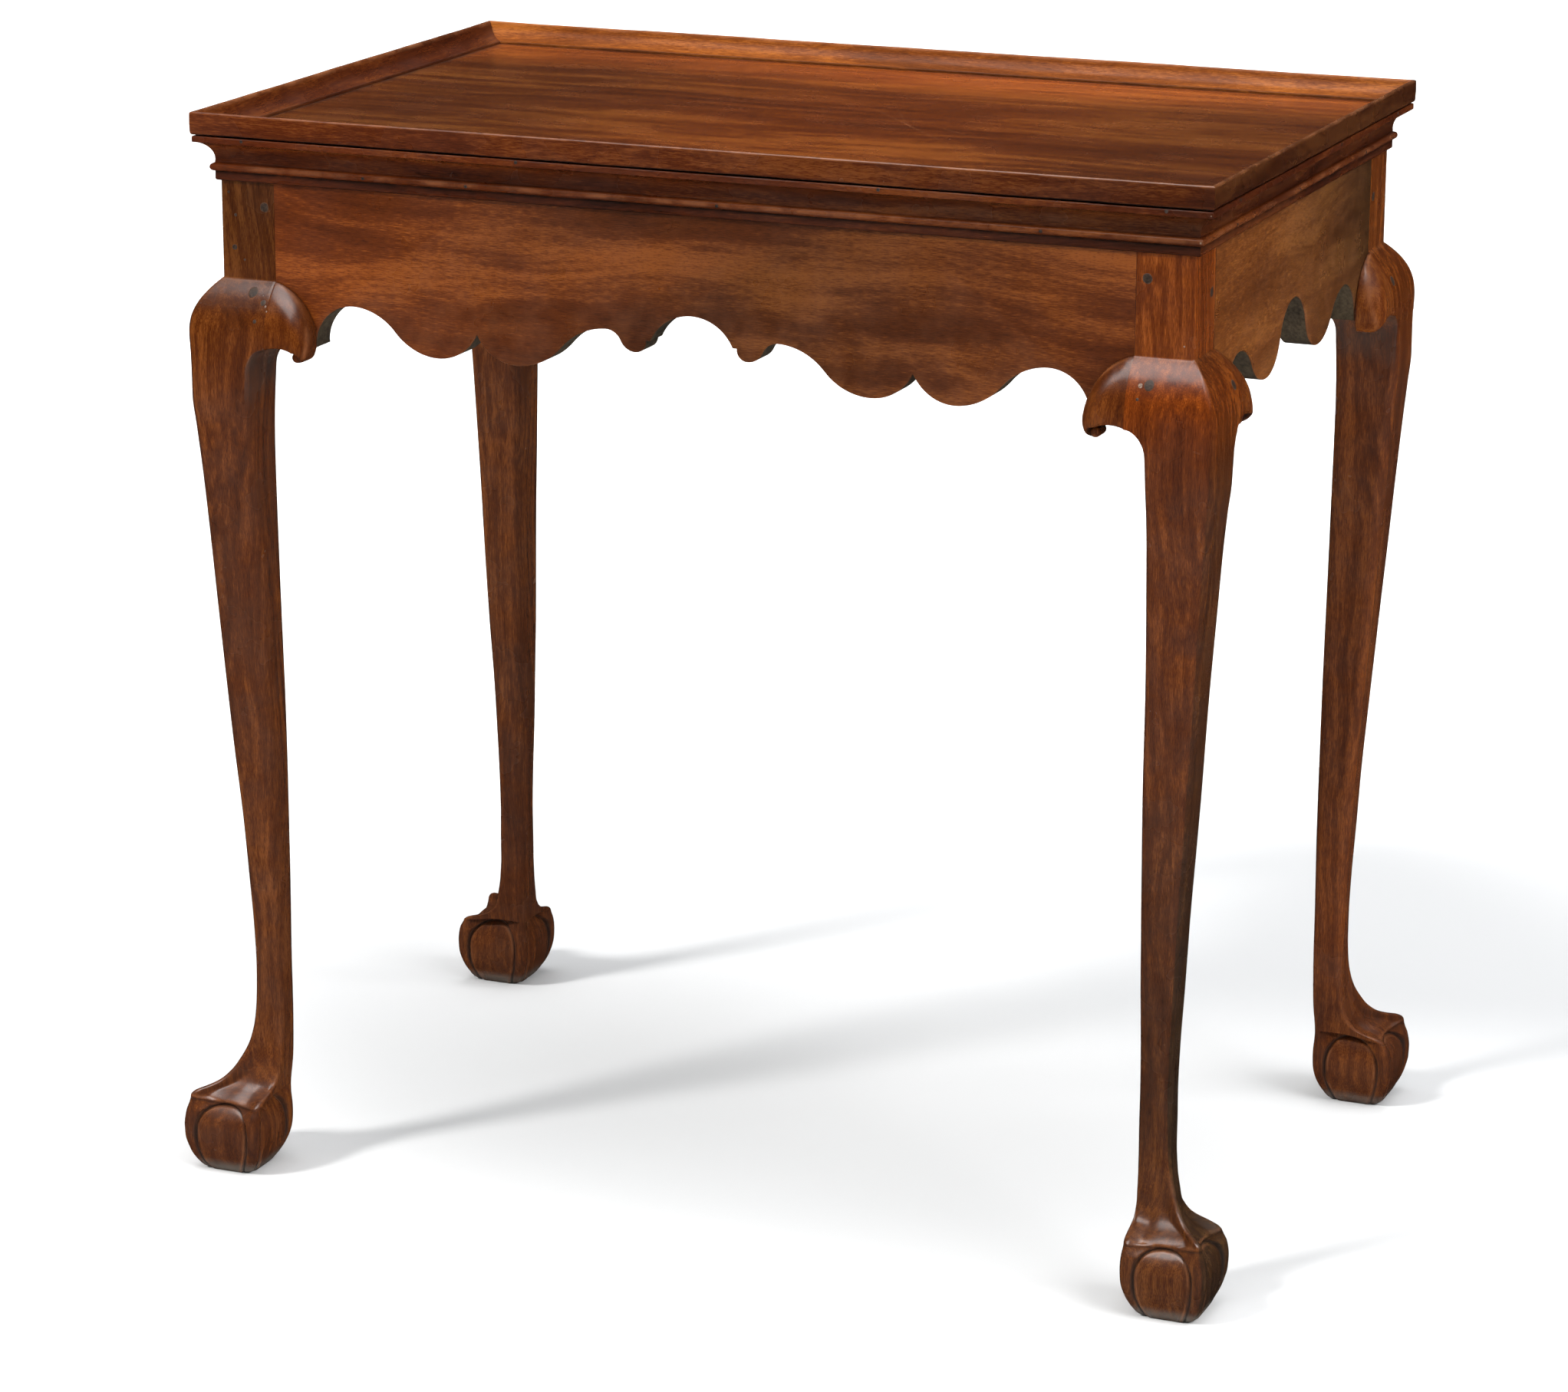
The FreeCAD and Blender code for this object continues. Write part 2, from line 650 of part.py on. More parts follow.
def bracket_shape():
    """A knee bracket in a side's own frame, for the joint at x = 0 with the apron towards -X.

    It is what three cuts share: its outline seen from the front, the swell of the knee seen from the
    side, and its rounding back to the apron seen from above."""
    reach = size("bracket_reach").value
    depth = size("bracket_depth").value
    projection = size("knee_projection").value
    radius = size("scroll_radius").value
    top = knee_top.value
    scroll = (-reach + radius, top - depth + 0.4 * radius)
    joint_top = (0, top)
    joint_bottom = (0, top - depth)
    shoulder = (-0.68 * reach, top - 0.29 * depth)
    flank = (-reach, top - 0.74 * depth)
    scroll_outside = (-reach, scroll[1])
    scroll_bottom = (scroll[0], scroll[1] - radius)
    scroll_inside = (scroll[0] + radius, scroll[1])
    notch = (scroll[0] + 1.2 * radius, scroll[1] + 0.75 * radius)
    hollow = (-0.32 * reach, top - 0.95 * depth)
    outline = Part.Wire([
        edge_between(joint_top, shoulder, flank),
        straight(flank, scroll_outside),
        edge_between(scroll_outside, scroll_bottom, scroll_inside),
        straight(scroll_inside, notch),
        edge_between(notch, hollow, joint_bottom),
        straight(joint_bottom, joint_top),
    ])
    front = Part.Face(outline).extrude(Vector(0, 2 * projection, 0))

    rounding = size("knee_rounding").value
    swell = [Vector(0, knee_swell(rounding * share), top - rounding * share)
             for share in (0, 0.12, 0.3, 0.5, 0.75, 1)]
    curve = Part.BSplineCurve()
    curve.interpolate(swell)
    low = Vector(0, projection, top - depth - 3 * radius)
    low_inside = Vector(0, 0, low.z)
    side = Part.Wire([curve.toShape(), Part.makeLine(swell[-1], low), Part.makeLine(low, low_inside),
                      Part.makeLine(low_inside, swell[0])])
    from_side = Part.Face(side).extrude(Vector(-2 * reach, 0, 0))

    edge = Vector(-reach, 0.42 * projection, 0)
    crest = Vector(-0.5 * reach, projection, 0)
    round_off = Part.Arc(edge, Vector(-0.87 * reach, 0.80 * projection, 0), crest).toShape()
    corners = [crest, Vector(0, projection, 0), Vector(0, 0, 0), Vector(-reach, 0, 0), edge]
    plan = Part.Wire([round_off] + [Part.makeLine(a, b) for a, b in zip(corners, corners[1:])])
    from_above = Part.Face(plan).extrude(Vector(0, 0, 2 * top))
    return front.common(from_side).common(from_above)


# ---- Making every sub-part

board = doc.addObject("PartDesign::Body", "tray_board_body")
for name, inset, low, high in (("base", ZERO, frame_top, lap_level),
                               ("field", size("rim_lap"), frame_top, field_level)):
    half_width = frame_width / 2 - inset
    board_section = outline_sketch(board, f"tray_board_{name}_section", "YZ_Plane",
                                   rectangle(-half_width, low, half_width, high))
    pad_both_ways(board, board_section, f"tray_board_{name}", frame_length - inset * 2)

side_nails = {side[0]: make_nails(side) for side in SIDES}
all_nails = doc.addObject("Part::Compound", "all_nails")
all_nails.Links = list(side_nails.values())
publish(drilled(board, all_nails, "tray_board_drilled"), "tray_board")

leg_blank = make_leg_blank()
bracket_blank = bracket_shape()
leg_cutters = {corner[0]: [] for corner in CORNERS}

for side in SIDES:
    name, turn, span, reach, ends, stations, _ = side
    here = side_placement(side)
    nails = side_nails[name]

    rim = make_strip(f"tray_rim_{name}_blank", rim_section(), side, -size("rim_lap"), size("tray_overhang"))
    publish(drilled(rim, nails, f"tray_rim_{name}_drilled"), f"tray_rim_{name}")

    cove = make_strip(f"cove_moulding_{name}_blank", cove_section(), side, ZERO, size("cove_reach"))
    publish(drilled(cove, nails, f"cove_moulding_{name}_drilled"), f"cove_moulding_{name}")

    pegs = doc.addObject("Part::Feature", f"pegs_{name}_cut")
    peg_shapes = [peg_cylinder(*spot) for spot in peg_spots(side)]
    corner_solids = Part.makeCompound([carried(leg_blank, corner_placement(corner), here)
                                       for corner in CORNERS if name in corner[0].split("_")])
    solids = [peg.common(corner_solids).Solids[0] if spot[2] else peg
              for peg, spot in zip(peg_shapes, peg_spots(side))]
    pegs.Shape = Part.makeCompound(solids)
    pegs.Placement = here
    publish(pegs, f"pegs_{name}")
    for corner in CORNERS:
        if name in corner[0].split("_"):
            leg_cutters[corner[0]] += [carried(peg, here, corner_placement(corner)) for peg in peg_shapes]

    plank = make_apron_plank(side)
    waste = doc.addObject("Part::Feature", f"apron_{name}_waste")
    waste.Shape = scroll_cutter(span, stations)
    waste.Placement = here
    fixings = doc.addObject("Part::Compound", f"apron_{name}_fixings")
    fixings.Links = [waste, pegs, nails]
    publish(drilled(plank, fixings, f"apron_{name}_cut"), f"apron_{name}")
    publish(nails, f"moulding_nails_{name}")

    for sign, end in zip((-1, 1), ends):
        bracket = doc.addObject("Part::Feature", f"knee_bracket_{name}_{end}_solid")
        shape = bracket_blank if sign > 0 else bracket_blank.mirror(Vector(0, 0, 0), Vector(1, 0, 0))
        bracket.Shape = shape.copy()
        joint = Vector(sign * (span / 2 - size("post_size")).value, 0, 0)
        bracket.Placement = here * FreeCAD.Placement(joint, FreeCAD.Rotation())
        publish(bracket, f"knee_bracket_{name}_{end}")

    blocks = []
    count = 3 if "pendant" in stations else 2
    for index in range(count):
        block = doc.addObject("Part::Box", f"glue_block_{name}_{index + 1}")
        block.setExpression("Length", size("block_length").text)
        block.setExpression("Width", size("block_size").text)
        block.setExpression("Height", size("block_size").text)
        opening = span - size("post_size") * 2 - size("block_length") - size("block_size") * 2
        spread = opening * (index / (count - 1) - 0.5)
        block.setExpression("Placement.Base.x", (spread - size("block_length") / 2).text)
        block.setExpression("Placement.Base.y", (-size("apron_thickness") - size("block_size")).text)
        block.setExpression("Placement.Base.z", (frame_top - size("block_size")).text)
        blocks.append(block)
    group = doc.addObject("Part::Compound", f"glue_blocks_{name}_set")
    group.Links = blocks
    place_on_side(group, turn, reach)
    publish(group, f"glue_blocks_{name}")

for corner in CORNERS:
    leg = doc.addObject("Part::Feature", f"leg_{corner[0]}_solid")
    leg.Shape = leg_blank.cut(mortise_tenons() + leg_cutters[corner[0]])
    leg.Placement = corner_placement(corner)
    publish(leg, f"leg_{corner[0]}")

doc.recompute()

# ---- Checking and writing

for item in doc.Objects:
    if "Invalid" in item.State or "Error" in item.State:
        raise RuntimeError(f"{item.Name} failed to compute: {item.State}")
for item in sub_parts:
    if item.Shape.isNull() or not item.Shape.isValid() or not item.Shape.Solids:
        raise RuntimeError(f"{item.Label} has no sound solid")

os.makedirs("parts", exist_ok=True)
for item in sub_parts:
    item.Shape.exportStep(f"parts/{item.Label}.step")
    box = item.Shape.BoundBox
    print(f"{item.Label}: {len(item.Shape.Solids)} solids, {item.Shape.Volume / 1000:.1f} cm3, "
          f"z {box.ZMin:.1f} to {box.ZMax:.1f}")
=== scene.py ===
import math

import bpy
import numpy as np
from mathutils import Matrix, Vector


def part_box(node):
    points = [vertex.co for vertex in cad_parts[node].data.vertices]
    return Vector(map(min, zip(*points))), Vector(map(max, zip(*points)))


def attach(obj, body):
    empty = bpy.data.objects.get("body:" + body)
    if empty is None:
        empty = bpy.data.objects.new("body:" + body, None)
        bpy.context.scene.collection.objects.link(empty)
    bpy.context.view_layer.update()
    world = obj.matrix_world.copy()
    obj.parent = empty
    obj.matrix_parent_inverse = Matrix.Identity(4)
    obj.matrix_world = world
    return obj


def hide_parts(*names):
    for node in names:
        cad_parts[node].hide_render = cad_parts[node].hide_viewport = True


# A tray top tea table in polished mahogany.  Meshes are worked out in millimetres in the table's frame: X along
# the table, Y from front to back, Z up from the floor.  A side of the table has a frame of its own, in which x
# runs along the side, y is outward from the face of the frame and z is up.

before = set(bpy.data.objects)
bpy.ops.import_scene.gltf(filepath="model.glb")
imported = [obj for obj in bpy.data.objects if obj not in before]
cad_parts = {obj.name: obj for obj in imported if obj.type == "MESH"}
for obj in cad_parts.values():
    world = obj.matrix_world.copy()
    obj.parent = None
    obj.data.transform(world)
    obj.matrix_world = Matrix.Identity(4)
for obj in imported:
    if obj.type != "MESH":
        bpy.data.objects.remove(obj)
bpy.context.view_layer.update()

MM = 1000.0
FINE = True


# ---- Places, read from the frame

def box_mm(node):
    """The lowest and the highest corner of a CAD node, in millimetres."""
    low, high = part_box(node)
    return np.array(low) * MM, np.array(high) * MM


board_low, board_high = box_mm("tray_board")
rim_low, rim_high = box_mm("tray_rim_right")
cove_low, cove_high = box_mm("cove_moulding_right")
apron_low, apron_high = box_mm("apron_front")
bracket_low, bracket_high = box_mm("knee_bracket_front_left")

HALF_LENGTH, HALF_WIDTH, FIELD = board_high
FRAME_TOP, TABLE_TOP = board_low[2], rim_high[2]
OVERHANG, RIM_LAP = rim_high[0] - HALF_LENGTH, HALF_LENGTH - rim_low[0]
COVE_BOTTOM, COVE_TOP, COVE_REACH = cove_low[2], cove_high[2], cove_high[0] - HALF_LENGTH
APRON_BOTTOM, APRON_THICKNESS = apron_low[2], apron_high[1] - apron_low[1]
BRACKET_BOTTOM, KNEE_TOP = bracket_low[2], bracket_high[2]
BRACKET_REACH, POST = bracket_high[0] - bracket_low[0], HALF_LENGTH + bracket_low[0]
KNEE_PROJECTION = box_mm("knee_bracket_right_front")[1][0] - HALF_LENGTH

SIDES = ("front", "back", "left", "right")
LONG_SIDES = ("front", "back")
# Each side: turn of its frame about Z in degrees, half its length, and how far its face is from the middle.
TURN = {"front": 180, "back": 0, "left": 90, "right": -90}
HALF_SPAN = {side: HALF_LENGTH if side in LONG_SIDES else HALF_WIDTH for side in SIDES}
REACH = {side: HALF_WIDTH if side in LONG_SIDES else HALF_LENGTH for side in SIDES}
# The ends of a side, by the sign of x in its own frame.
SIDE_ENDS = {"front": {1: "left", -1: "right"}, "back": {1: "right", -1: "left"},
             "left": {1: "back", -1: "front"}, "right": {1: "front", -1: "back"}}
# Each leg: turn about Z in degrees, and the signs of its corner's x and y.
LEGS = {"back_right": (0, 1, 1), "back_left": (90, -1, 1), "front_left": (180, -1, -1),
        "front_right": (270, 1, -1)}


def turned(points, degrees):
    """Points turned about the Z axis."""
    cosine, sine = math.cos(math.radians(degrees)), math.sin(math.radians(degrees))
    x, y, z = np.moveaxis(points, -1, 0)
    return np.stack([x * cosine - y * sine, x * sine + y * cosine, z], axis=-1)


def from_side(points, side):
    """Points in a side's frame, in the table's frame."""
    return turned(points + np.array([0, REACH[side], 0]), TURN[side])


# ---- Small tools for shapes

def smoothstep(low, high, value):
    """0 up to low and 1 from high on, with an eased rise between them."""
    share = np.clip((value - low) / (high - low), 0, 1)
    return share * share * (3 - 2 * share)


def hump(value, middle, width):
    """1 at the middle, falling off smoothly to both sides."""
    return np.exp(-((value - middle) / width) ** 2)


def through(stations, at):
    """A smooth curve through (place, value) stations, read at some places."""
    places, values = np.array(sorted(stations), float).T
    slopes = np.gradient(values, places)
    steps = np.diff(values) / np.diff(places)
    for index in range(1, len(places) - 1):
        if steps[index - 1] * steps[index] <= 0:
            slopes[index] = 0
        else:
            limit = 3 * min(abs(steps[index - 1]), abs(steps[index]))
            slopes[index] = math.copysign(min(abs(slopes[index]), limit), slopes[index])
    at = np.clip(at, places[0], places[-1])
    left = np.clip(np.searchsorted(places, at, side="right") - 1, 0, len(places) - 2)
    width = places[left + 1] - places[left]
    t = (at - places[left]) / width
    return ((2 * t ** 3 - 3 * t ** 2 + 1) * values[left] + (t ** 3 - 2 * t ** 2 + t) * width * slopes[left]
            + (3 * t ** 2 - 2 * t ** 3) * values[left + 1] + (t ** 3 - t ** 2) * width * slopes[left + 1])


def ripple(points, wavelength, seed, waves=5):
    """Smooth unevenness between about -1 and 1, the same each run, over points of any dimension."""
    rng = np.random.default_rng(seed)
    points = np.atleast_2d(np.asarray(points, float))
    total = np.zeros(points.shape[:-1])
    for _ in range(waves):
        direction = rng.normal(size=points.shape[-1])
        direction /= np.linalg.norm(direction)
        length = wavelength * rng.uniform(0.6, 1.6)
        total += np.sin(points @ direction * 2 * math.pi / length + rng.uniform(0, 2 * math.pi))
    return total / waves * 1.6


def arc(start, middle, end, count):
    """Points from start to end on the arc through middle, without the end point."""
    (ax, az), (bx, bz), (cx, cz) = start, middle, end
    a, b, c = (x * x + z * z for x, z in (start, middle, end))
    d = 2 * (ax * (bz - cz) + bx * (cz - az) + cx * (az - bz))
    ux = (a * (bz - cz) + b * (cz - az) + c * (az - bz)) / d
    uz = (a * (cx - bx) + b * (ax - cx) + c * (bx - ax)) / d
    radius = math.hypot(ax - ux, az - uz)
    first, second, last = (math.atan2(z - uz, x - ux) for x, z in (start, middle, end))
    sweep = (last - first) % (2 * math.pi)
    if (second - first) % (2 * math.pi) > sweep:
        sweep -= 2 * math.pi
    return [(ux + radius * math.cos(turn), uz + radius * math.sin(turn))
            for turn in first + sweep * np.arange(count) / count]


def level_arc(level_point, other, count):
    """An arc that is level at level_point and ends at other, without the end point."""
    across, up = other[0] - level_point[0], other[1] - level_point[1]
    radius = (across * across + up * up) / (2 * up)
    half_turn = math.atan2(abs(up), abs(across))
    middle = (level_point[0] + math.copysign(radius * math.sin(half_turn), across),
              level_point[1] + radius * (1 - math.cos(half_turn)))
    return arc(level_point, middle, other, count)


def backward(points, end):
    """The same run of points from its end back to its start, without the start point."""
    return [end] + points[:0:-1]


# ---- Making pieces

def make_piece(name, points, faces, materials, masks, node=None, face_materials=None, sharp_above=None):
    """Links a mesh made of millimetre points as a piece of the table; it may stand for a CAD node."""
    mesh = bpy.data.meshes.new(name)
    mesh.from_pydata((np.asarray(points) / MM).tolist(), [], faces)
    for mask, values in masks.items():
        layer = mesh.attributes.new(mask, "FLOAT", "POINT")
        layer.data.foreach_set("value", np.asarray(values, np.float32))
    for material in materials:
        mesh.materials.append(material)
    if face_materials is not None:
        mesh.polygons.foreach_set("material_index", np.asarray(face_materials, np.int32))
    mesh.shade_smooth()
    if sharp_above:
        mesh.set_sharp_from_angle(angle=math.radians(sharp_above))
    mesh.validate()
    mesh.update()
    piece = bpy.data.objects.new(name, mesh)
    bpy.context.scene.collection.objects.link(piece)
    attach(piece, "root")
    if node:
        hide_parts(node)


def grid_faces(rows, columns, closed=False):
    """Quads over a grid of points; a closed grid also joins its last column to its first."""
    faces = []
    for row in range(rows - 1):
        for column in range(columns if closed else columns - 1):
            following = (column + 1) % columns
            faces.append((row * columns + column, row * columns + following,
                          (row + 1) * columns + following, (row + 1) * columns + column))
    return faces


def tube_faces(rows, columns, flip=False):
    """Faces of a tube made of closed rows of points, with a cap on both ends."""
    faces = grid_faces(rows, columns, closed=True)
    faces += [tuple(range(columns - 1, -1, -1)), tuple(range((rows - 1) * columns, rows * columns))]
    return [face[::-1] for face in faces] if flip else faces


# ---- Materials

ALONG_X = (0, 0, 0)
ALONG_Y = (0, 0, math.radians(-90))
ALONG_Z = (0, math.radians(90), 0)
GRAIN = {side: ALONG_X if side in LONG_SIDES else ALONG_Y for side in SIDES}

# Mahogany's dark, middle and light tones, as linear colours.
RED_BROWN = ((0.022, 0.0042, 0.0013), (0.102, 0.0215, 0.0030), (0.220, 0.0560, 0.0080))
GOLDEN_BROWN = ((0.026, 0.0066, 0.0018), (0.118, 0.0340, 0.0070), (0.220, 0.0740, 0.0150))
DEEP_BROWN = ((0.026, 0.0054, 0.0016), (0.112, 0.0243, 0.0040), (0.222, 0.0620, 0.0100))
DARK_BROWN = ((0.016, 0.0030, 0.0010), (0.078, 0.0145, 0.0026), (0.160, 0.0390, 0.0068))
# Tints for grime and painted shade, for wear and painted highlights, and for dust and the floor's painted
# reflection.
GRIME_AND_SHADE_TINT, WEAR_AND_HIGHLIGHT_TINT, DUST_AND_REFLECTION_TINT = (0.0060, 0.0030, 0.0020), (0.36, 0.140, 0.060), (0.125, 0.110, 0.094)
# How much of each colour is lost where the tone and painted light mask is 1. It takes more red than blue, so
# what
# it darkens also greys: a painted reflection of the pale floor on the lower legs.
TONE_AND_LIGHT_DEPTH = (0.62, 0.46, 0.14)

# How the figure of the wood runs: scales along and across the grain, per metre.
FLAT_SAWN = (5.0, 42.0)
STRAIGHT = (3.0, 210.0)
LONG_STREAKS = (2.2, 75.0)


class Recipe:
    """The node tree of a material or a world, built up by short calls that return output sockets."""

    def __init__(self, owner, kind="Material"):
        owner.use_nodes = True
        self.owner, self.tree = owner, owner.node_tree
        self.tree.nodes.clear()
        self.surface = self.tree.nodes.new("ShaderNodeOutput" + kind).inputs["Surface"]

    def feed(self, socket, value):
        """Links an output to a socket, or sets the socket's own value."""
        if isinstance(value, bpy.types.NodeSocket):
            self.tree.links.new(value, socket)
        elif value is not None:
            socket.default_value = value

    def node(self, kind, inputs, output=0, **settings):
        """An output of a new node, given its inputs by name or number and its settings."""
        node = self.tree.nodes.new("ShaderNode" + kind)
        for setting, value in settings.items():
            setattr(node, setting, value)
        for socket, value in inputs.items():
            self.feed(node.inputs[socket], value)
        return node.outputs[output]

    def place(self, turn=ALONG_X, offset=(0.0, 0.0, 0.0)):
        """Object coordinates turned so that the grain runs along X, and moved to a place of their own."""
        here = self.node("TexCoord", {}, "Object")
        return self.node("Mapping", {"Vector": here, "Rotation": turn, "Location": offset})

    def vector(self, operation, first, second=None, output="Vector"):
        return self.node("VectorMath", {0: first, 1: second}, output, operation=operation)

    def number(self, operation, first, second, clamp=False):
        return self.node("Math", {0: first, 1: second}, operation=operation, use_clamp=clamp)

    def times(self, first, second):
        return self.number("MULTIPLY", first, second)

    def noise(self, vector, scale=1.0, detail=2.0, roughness=0.5, output="Fac"):
        inputs = {"Vector": vector, "Scale": scale, "Detail": detail, "Roughness": roughness}
        return self.node("TexNoise", inputs, output)

    def grain(self, vector, along, across, **settings):
        """Noise with one scale along the grain and another across it, per metre."""
        return self.noise(self.vector("MULTIPLY", vector, (along, across, across)), **settings)

    def spread(self, value, low, high, to_low=0.0, to_high=1.0):
        """The range from low to high, eased and spread from to_low to to_high."""
        inputs = {"Value": value, "From Min": low, "From Max": high, "To Min": to_low, "To Max": to_high}
        return self.node("MapRange", inputs, "Result", interpolation_type="SMOOTHSTEP")

    def ramp(self, value, stops):
        """A colour that runs through (position, tone) stops."""
        stops = list(stops)
        colour = self.node("ValToRGB", {"Fac": value}, "Color")
        elements = colour.node.color_ramp.elements
        while len(elements) < len(stops):
            elements.new(0.5)
        for element, (position, tone) in zip(elements, stops):
            element.position = position
            element.color = (*tone, 1)
        return colour

    def mix(self, share, first, second, blend="MIX"):
        first, second = ((*value, 1) if isinstance(value, tuple) else value for value in (first, second))
        return self.node("Mix", {"Factor": share, 6: first, 7: second}, 2, data_type="RGBA", blend_type=blend)

    def mask(self, name):
        return self.node("Attribute", {}, "Fac", attribute_name=name)

    def tone_and_painted_light(self, colour):
        """A colour darkened by the mesh's mask of tone and painted light and shade, or lightened where that is
        less than nothing.
        """
        lost = self.vector("MULTIPLY", self.mask("tone_and_painted_light"), TONE_AND_LIGHT_DEPTH)
        return self.mix(1.0, colour, self.vector("SUBTRACT", (1, 1, 1), lost), "MULTIPLY")

    def bump(self, height, strength, distance, normal=None):
        inputs = {"Height": height, "Strength": strength, "Distance": distance, "Normal": normal}
        return self.node("Bump", inputs)

    def finish(self, colour, roughness, normal=None, gloss=0.5, ior=1.5):
        """Gives the material its surface and returns it."""
        inputs = {"Base Color": colour, "Roughness": roughness, "Normal": normal, "Specular IOR Level": gloss,
                  "IOR": ior}
        self.feed(self.surface, self.node("BsdfPrincipled", inputs))
        return self.owner


def new_recipe(name):
    return Recipe(bpy.data.materials.new(name))


def scratch(recipe, x, y, angle, half_length, half_width):
    """A broken pale line on top of the board."""
    turn = math.radians(angle)
    away = (-x * math.cos(turn) - y * math.sin(turn), x * math.sin(turn) - y * math.cos(turn), 0.0)
    line = recipe.place((0.0, 0.0, -turn), away)
    scaled = recipe.vector("MULTIPLY", line, (1 / half_length, 1 / half_width, 0.0))
    near = recipe.spread(recipe.vector("LENGTH", scaled, output="Value"), 0.3, 1.0, 1.0, 0.0)
    broken = recipe.noise(recipe.vector("MULTIPLY", line, (260.0, 900.0, 0.0)))
    return recipe.times(near, recipe.spread(broken, 0.46, 0.62))


def figured(recipe, straight, fibres, tones, figure, contrast, fineness):
    """Swaying bands and streaks with fibres over them, in tones from dark to light."""
    sway = recipe.grain(straight, 4.5, 11.0, output="Color")
    place = recipe.vector("ADD", straight, recipe.vector("MULTIPLY", sway, (0.0, 0.055, 0.055)))
    clouds = recipe.spread(recipe.grain(straight, 3.5, 14.0, detail=3.0), 0.30, 0.70)
    bands = recipe.spread(recipe.grain(place, *figure, detail=4.0, roughness=0.55), 0.30, 0.70)
    streaks = recipe.grain(place, 20.0, 400.0, detail=3.0)
    weights = [0.20 * contrast, 0.28 * contrast, 0.34, fineness]
    value = recipe.times(clouds, weights[0])
    for part, weight in zip((bands, streaks, fibres), weights[1:]):
        value = recipe.number("ADD", value, recipe.times(part, weight))
    middle, reach = 0.50 * sum(weights), 0.40
    return recipe.ramp(value, zip((middle - reach, middle, middle + reach), tones))


def wood(name, grain, offset, tones=RED_BROWN, figure=FLAT_SAWN, roughness=0.33, contrast=1.0, scratches=(),
         gloss=0.30, fineness=0.74):
    """Polished mahogany: broad figure, fibres along the grain, short dark pores, its tone with painted light
    and shade, grime and painted shade, wear and painted highlights, and dust and a painted reflection of the
    floor.
    """
    recipe = new_recipe(name)
    straight = recipe.place(grain, offset)
    fibres = recipe.grain(straight, 170.0, 2000.0, roughness=0.6)
    pores = recipe.spread(recipe.grain(straight, 360.0, 3000.0, detail=1.0), 0.55, 0.72)
    colour = figured(recipe, straight, fibres, tones, figure, contrast, fineness)
    colour = recipe.tone_and_painted_light(recipe.mix(recipe.times(pores, 0.48), colour, tones[0]))
    blotch = recipe.noise(straight, scale=55.0, detail=4.0, roughness=0.6)
    grime_and_painted_shade, wear_and_painted_highlight, dust_and_painted_reflection = (recipe.times(recipe.mask(mask), recipe.spread(blotch, low, high, least))
                         for mask, low, high, least in (("grime_and_painted_shade", 0.25, 0.6, 0.45), ("wear_and_painted_highlight", 0.38, 0.66, 0.15),
                                                        ("dust_and_painted_reflection", 0.30, 0.65, 0.5)))
    for line in scratches:
        wear_and_painted_highlight = recipe.number("ADD", wear_and_painted_highlight, scratch(recipe, *line), clamp=True)
    for share, tint in ((dust_and_painted_reflection, DUST_AND_REFLECTION_TINT), (recipe.times(wear_and_painted_highlight, 0.55), WEAR_AND_HIGHLIGHT_TINT), (recipe.times(grime_and_painted_shade, 0.85), GRIME_AND_SHADE_TINT)):
        colour = recipe.mix(share, colour, tint)
    rough = recipe.spread(recipe.noise(straight, scale=28.0, detail=3.0), 0.3, 0.7, roughness - 0.06,
                          roughness + 0.08)
    rough = recipe.number("ADD", rough, recipe.times(grime_and_painted_shade, 0.25))
    rough = recipe.number("SUBTRACT", rough, recipe.times(wear_and_painted_highlight, 0.10))
    relief = recipe.number("SUBTRACT", fibres, recipe.times(pores, 0.8))
    planed = recipe.grain(straight, 12.0, 26.0, detail=1.0)
    normal = recipe.bump(planed, 0.30, 0.0011, recipe.bump(relief, 0.20, 0.00008))
    return recipe.finish(colour, rough, normal, gloss, 1.45)


def raw_wood(name, grain, offset, light=(0.076, 0.054, 0.031), dark=(0.017, 0.012, 0.0075)):
    """Unpolished, dusty wood: cut edges and inner faces."""
    recipe = new_recipe(name)
    place = recipe.place(grain, offset)
    streaks = recipe.grain(place, 14.0, 420.0, detail=3.0, roughness=0.65)
    clouds = recipe.noise(place, scale=30.0, detail=4.0)
    value = recipe.number("ADD", recipe.times(streaks, 0.6), recipe.times(clouds, 0.4))
    colour = recipe.ramp(value, [(0.30, dark), (0.68, light)])
    rough = recipe.spread(clouds, 0.3, 0.7, 0.62, 0.85)
    return recipe.finish(colour, rough, recipe.bump(streaks, 0.6, 0.0004), 0.12)


def speckled(name, dark, light, roughness, scale=900.0, coarseness=0.5, stops=(0.35, 0.62),
             relief=(0.5, 0.0003), worn=0.0, gloss=0.5):
    """Small spots that aren't polished wood: rust, end grain or old filler."""
    recipe = new_recipe(name)
    specks = recipe.noise(recipe.place(), scale=scale, detail=3.0, roughness=coarseness)
    colour = recipe.ramp(specks, zip(stops, (dark, light)))
    if worn:
        colour = recipe.mix(recipe.times(recipe.mask("wear_and_painted_highlight"), worn), colour, WEAR_AND_HIGHLIGHT_TINT)
    rough = recipe.spread(specks, 0.3, 0.7, *roughness)
    return recipe.finish(colour, rough, recipe.bump(specks, *relief), gloss)


# ---- Tray board

# Pale scratches on the board: x and y of the middle, angle in degrees, half length and half width, in metres.
SCRATCHES = [(0.070, -0.014, -50, 0.090, 0.0011), (0.052, 0.018, -63, 0.045, 0.0007),
             (0.100, -0.020, -38, 0.040, 0.0008), (-0.020, 0.060, 12, 0.050, 0.0006)]
REBATE = 2.0


def spaced(half, count):
    """Places from -half to half, closest together at both ends."""
    even = np.linspace(-1, 1, count)
    return half * (0.75 * even + 0.25 * np.sin(even * math.pi / 2))


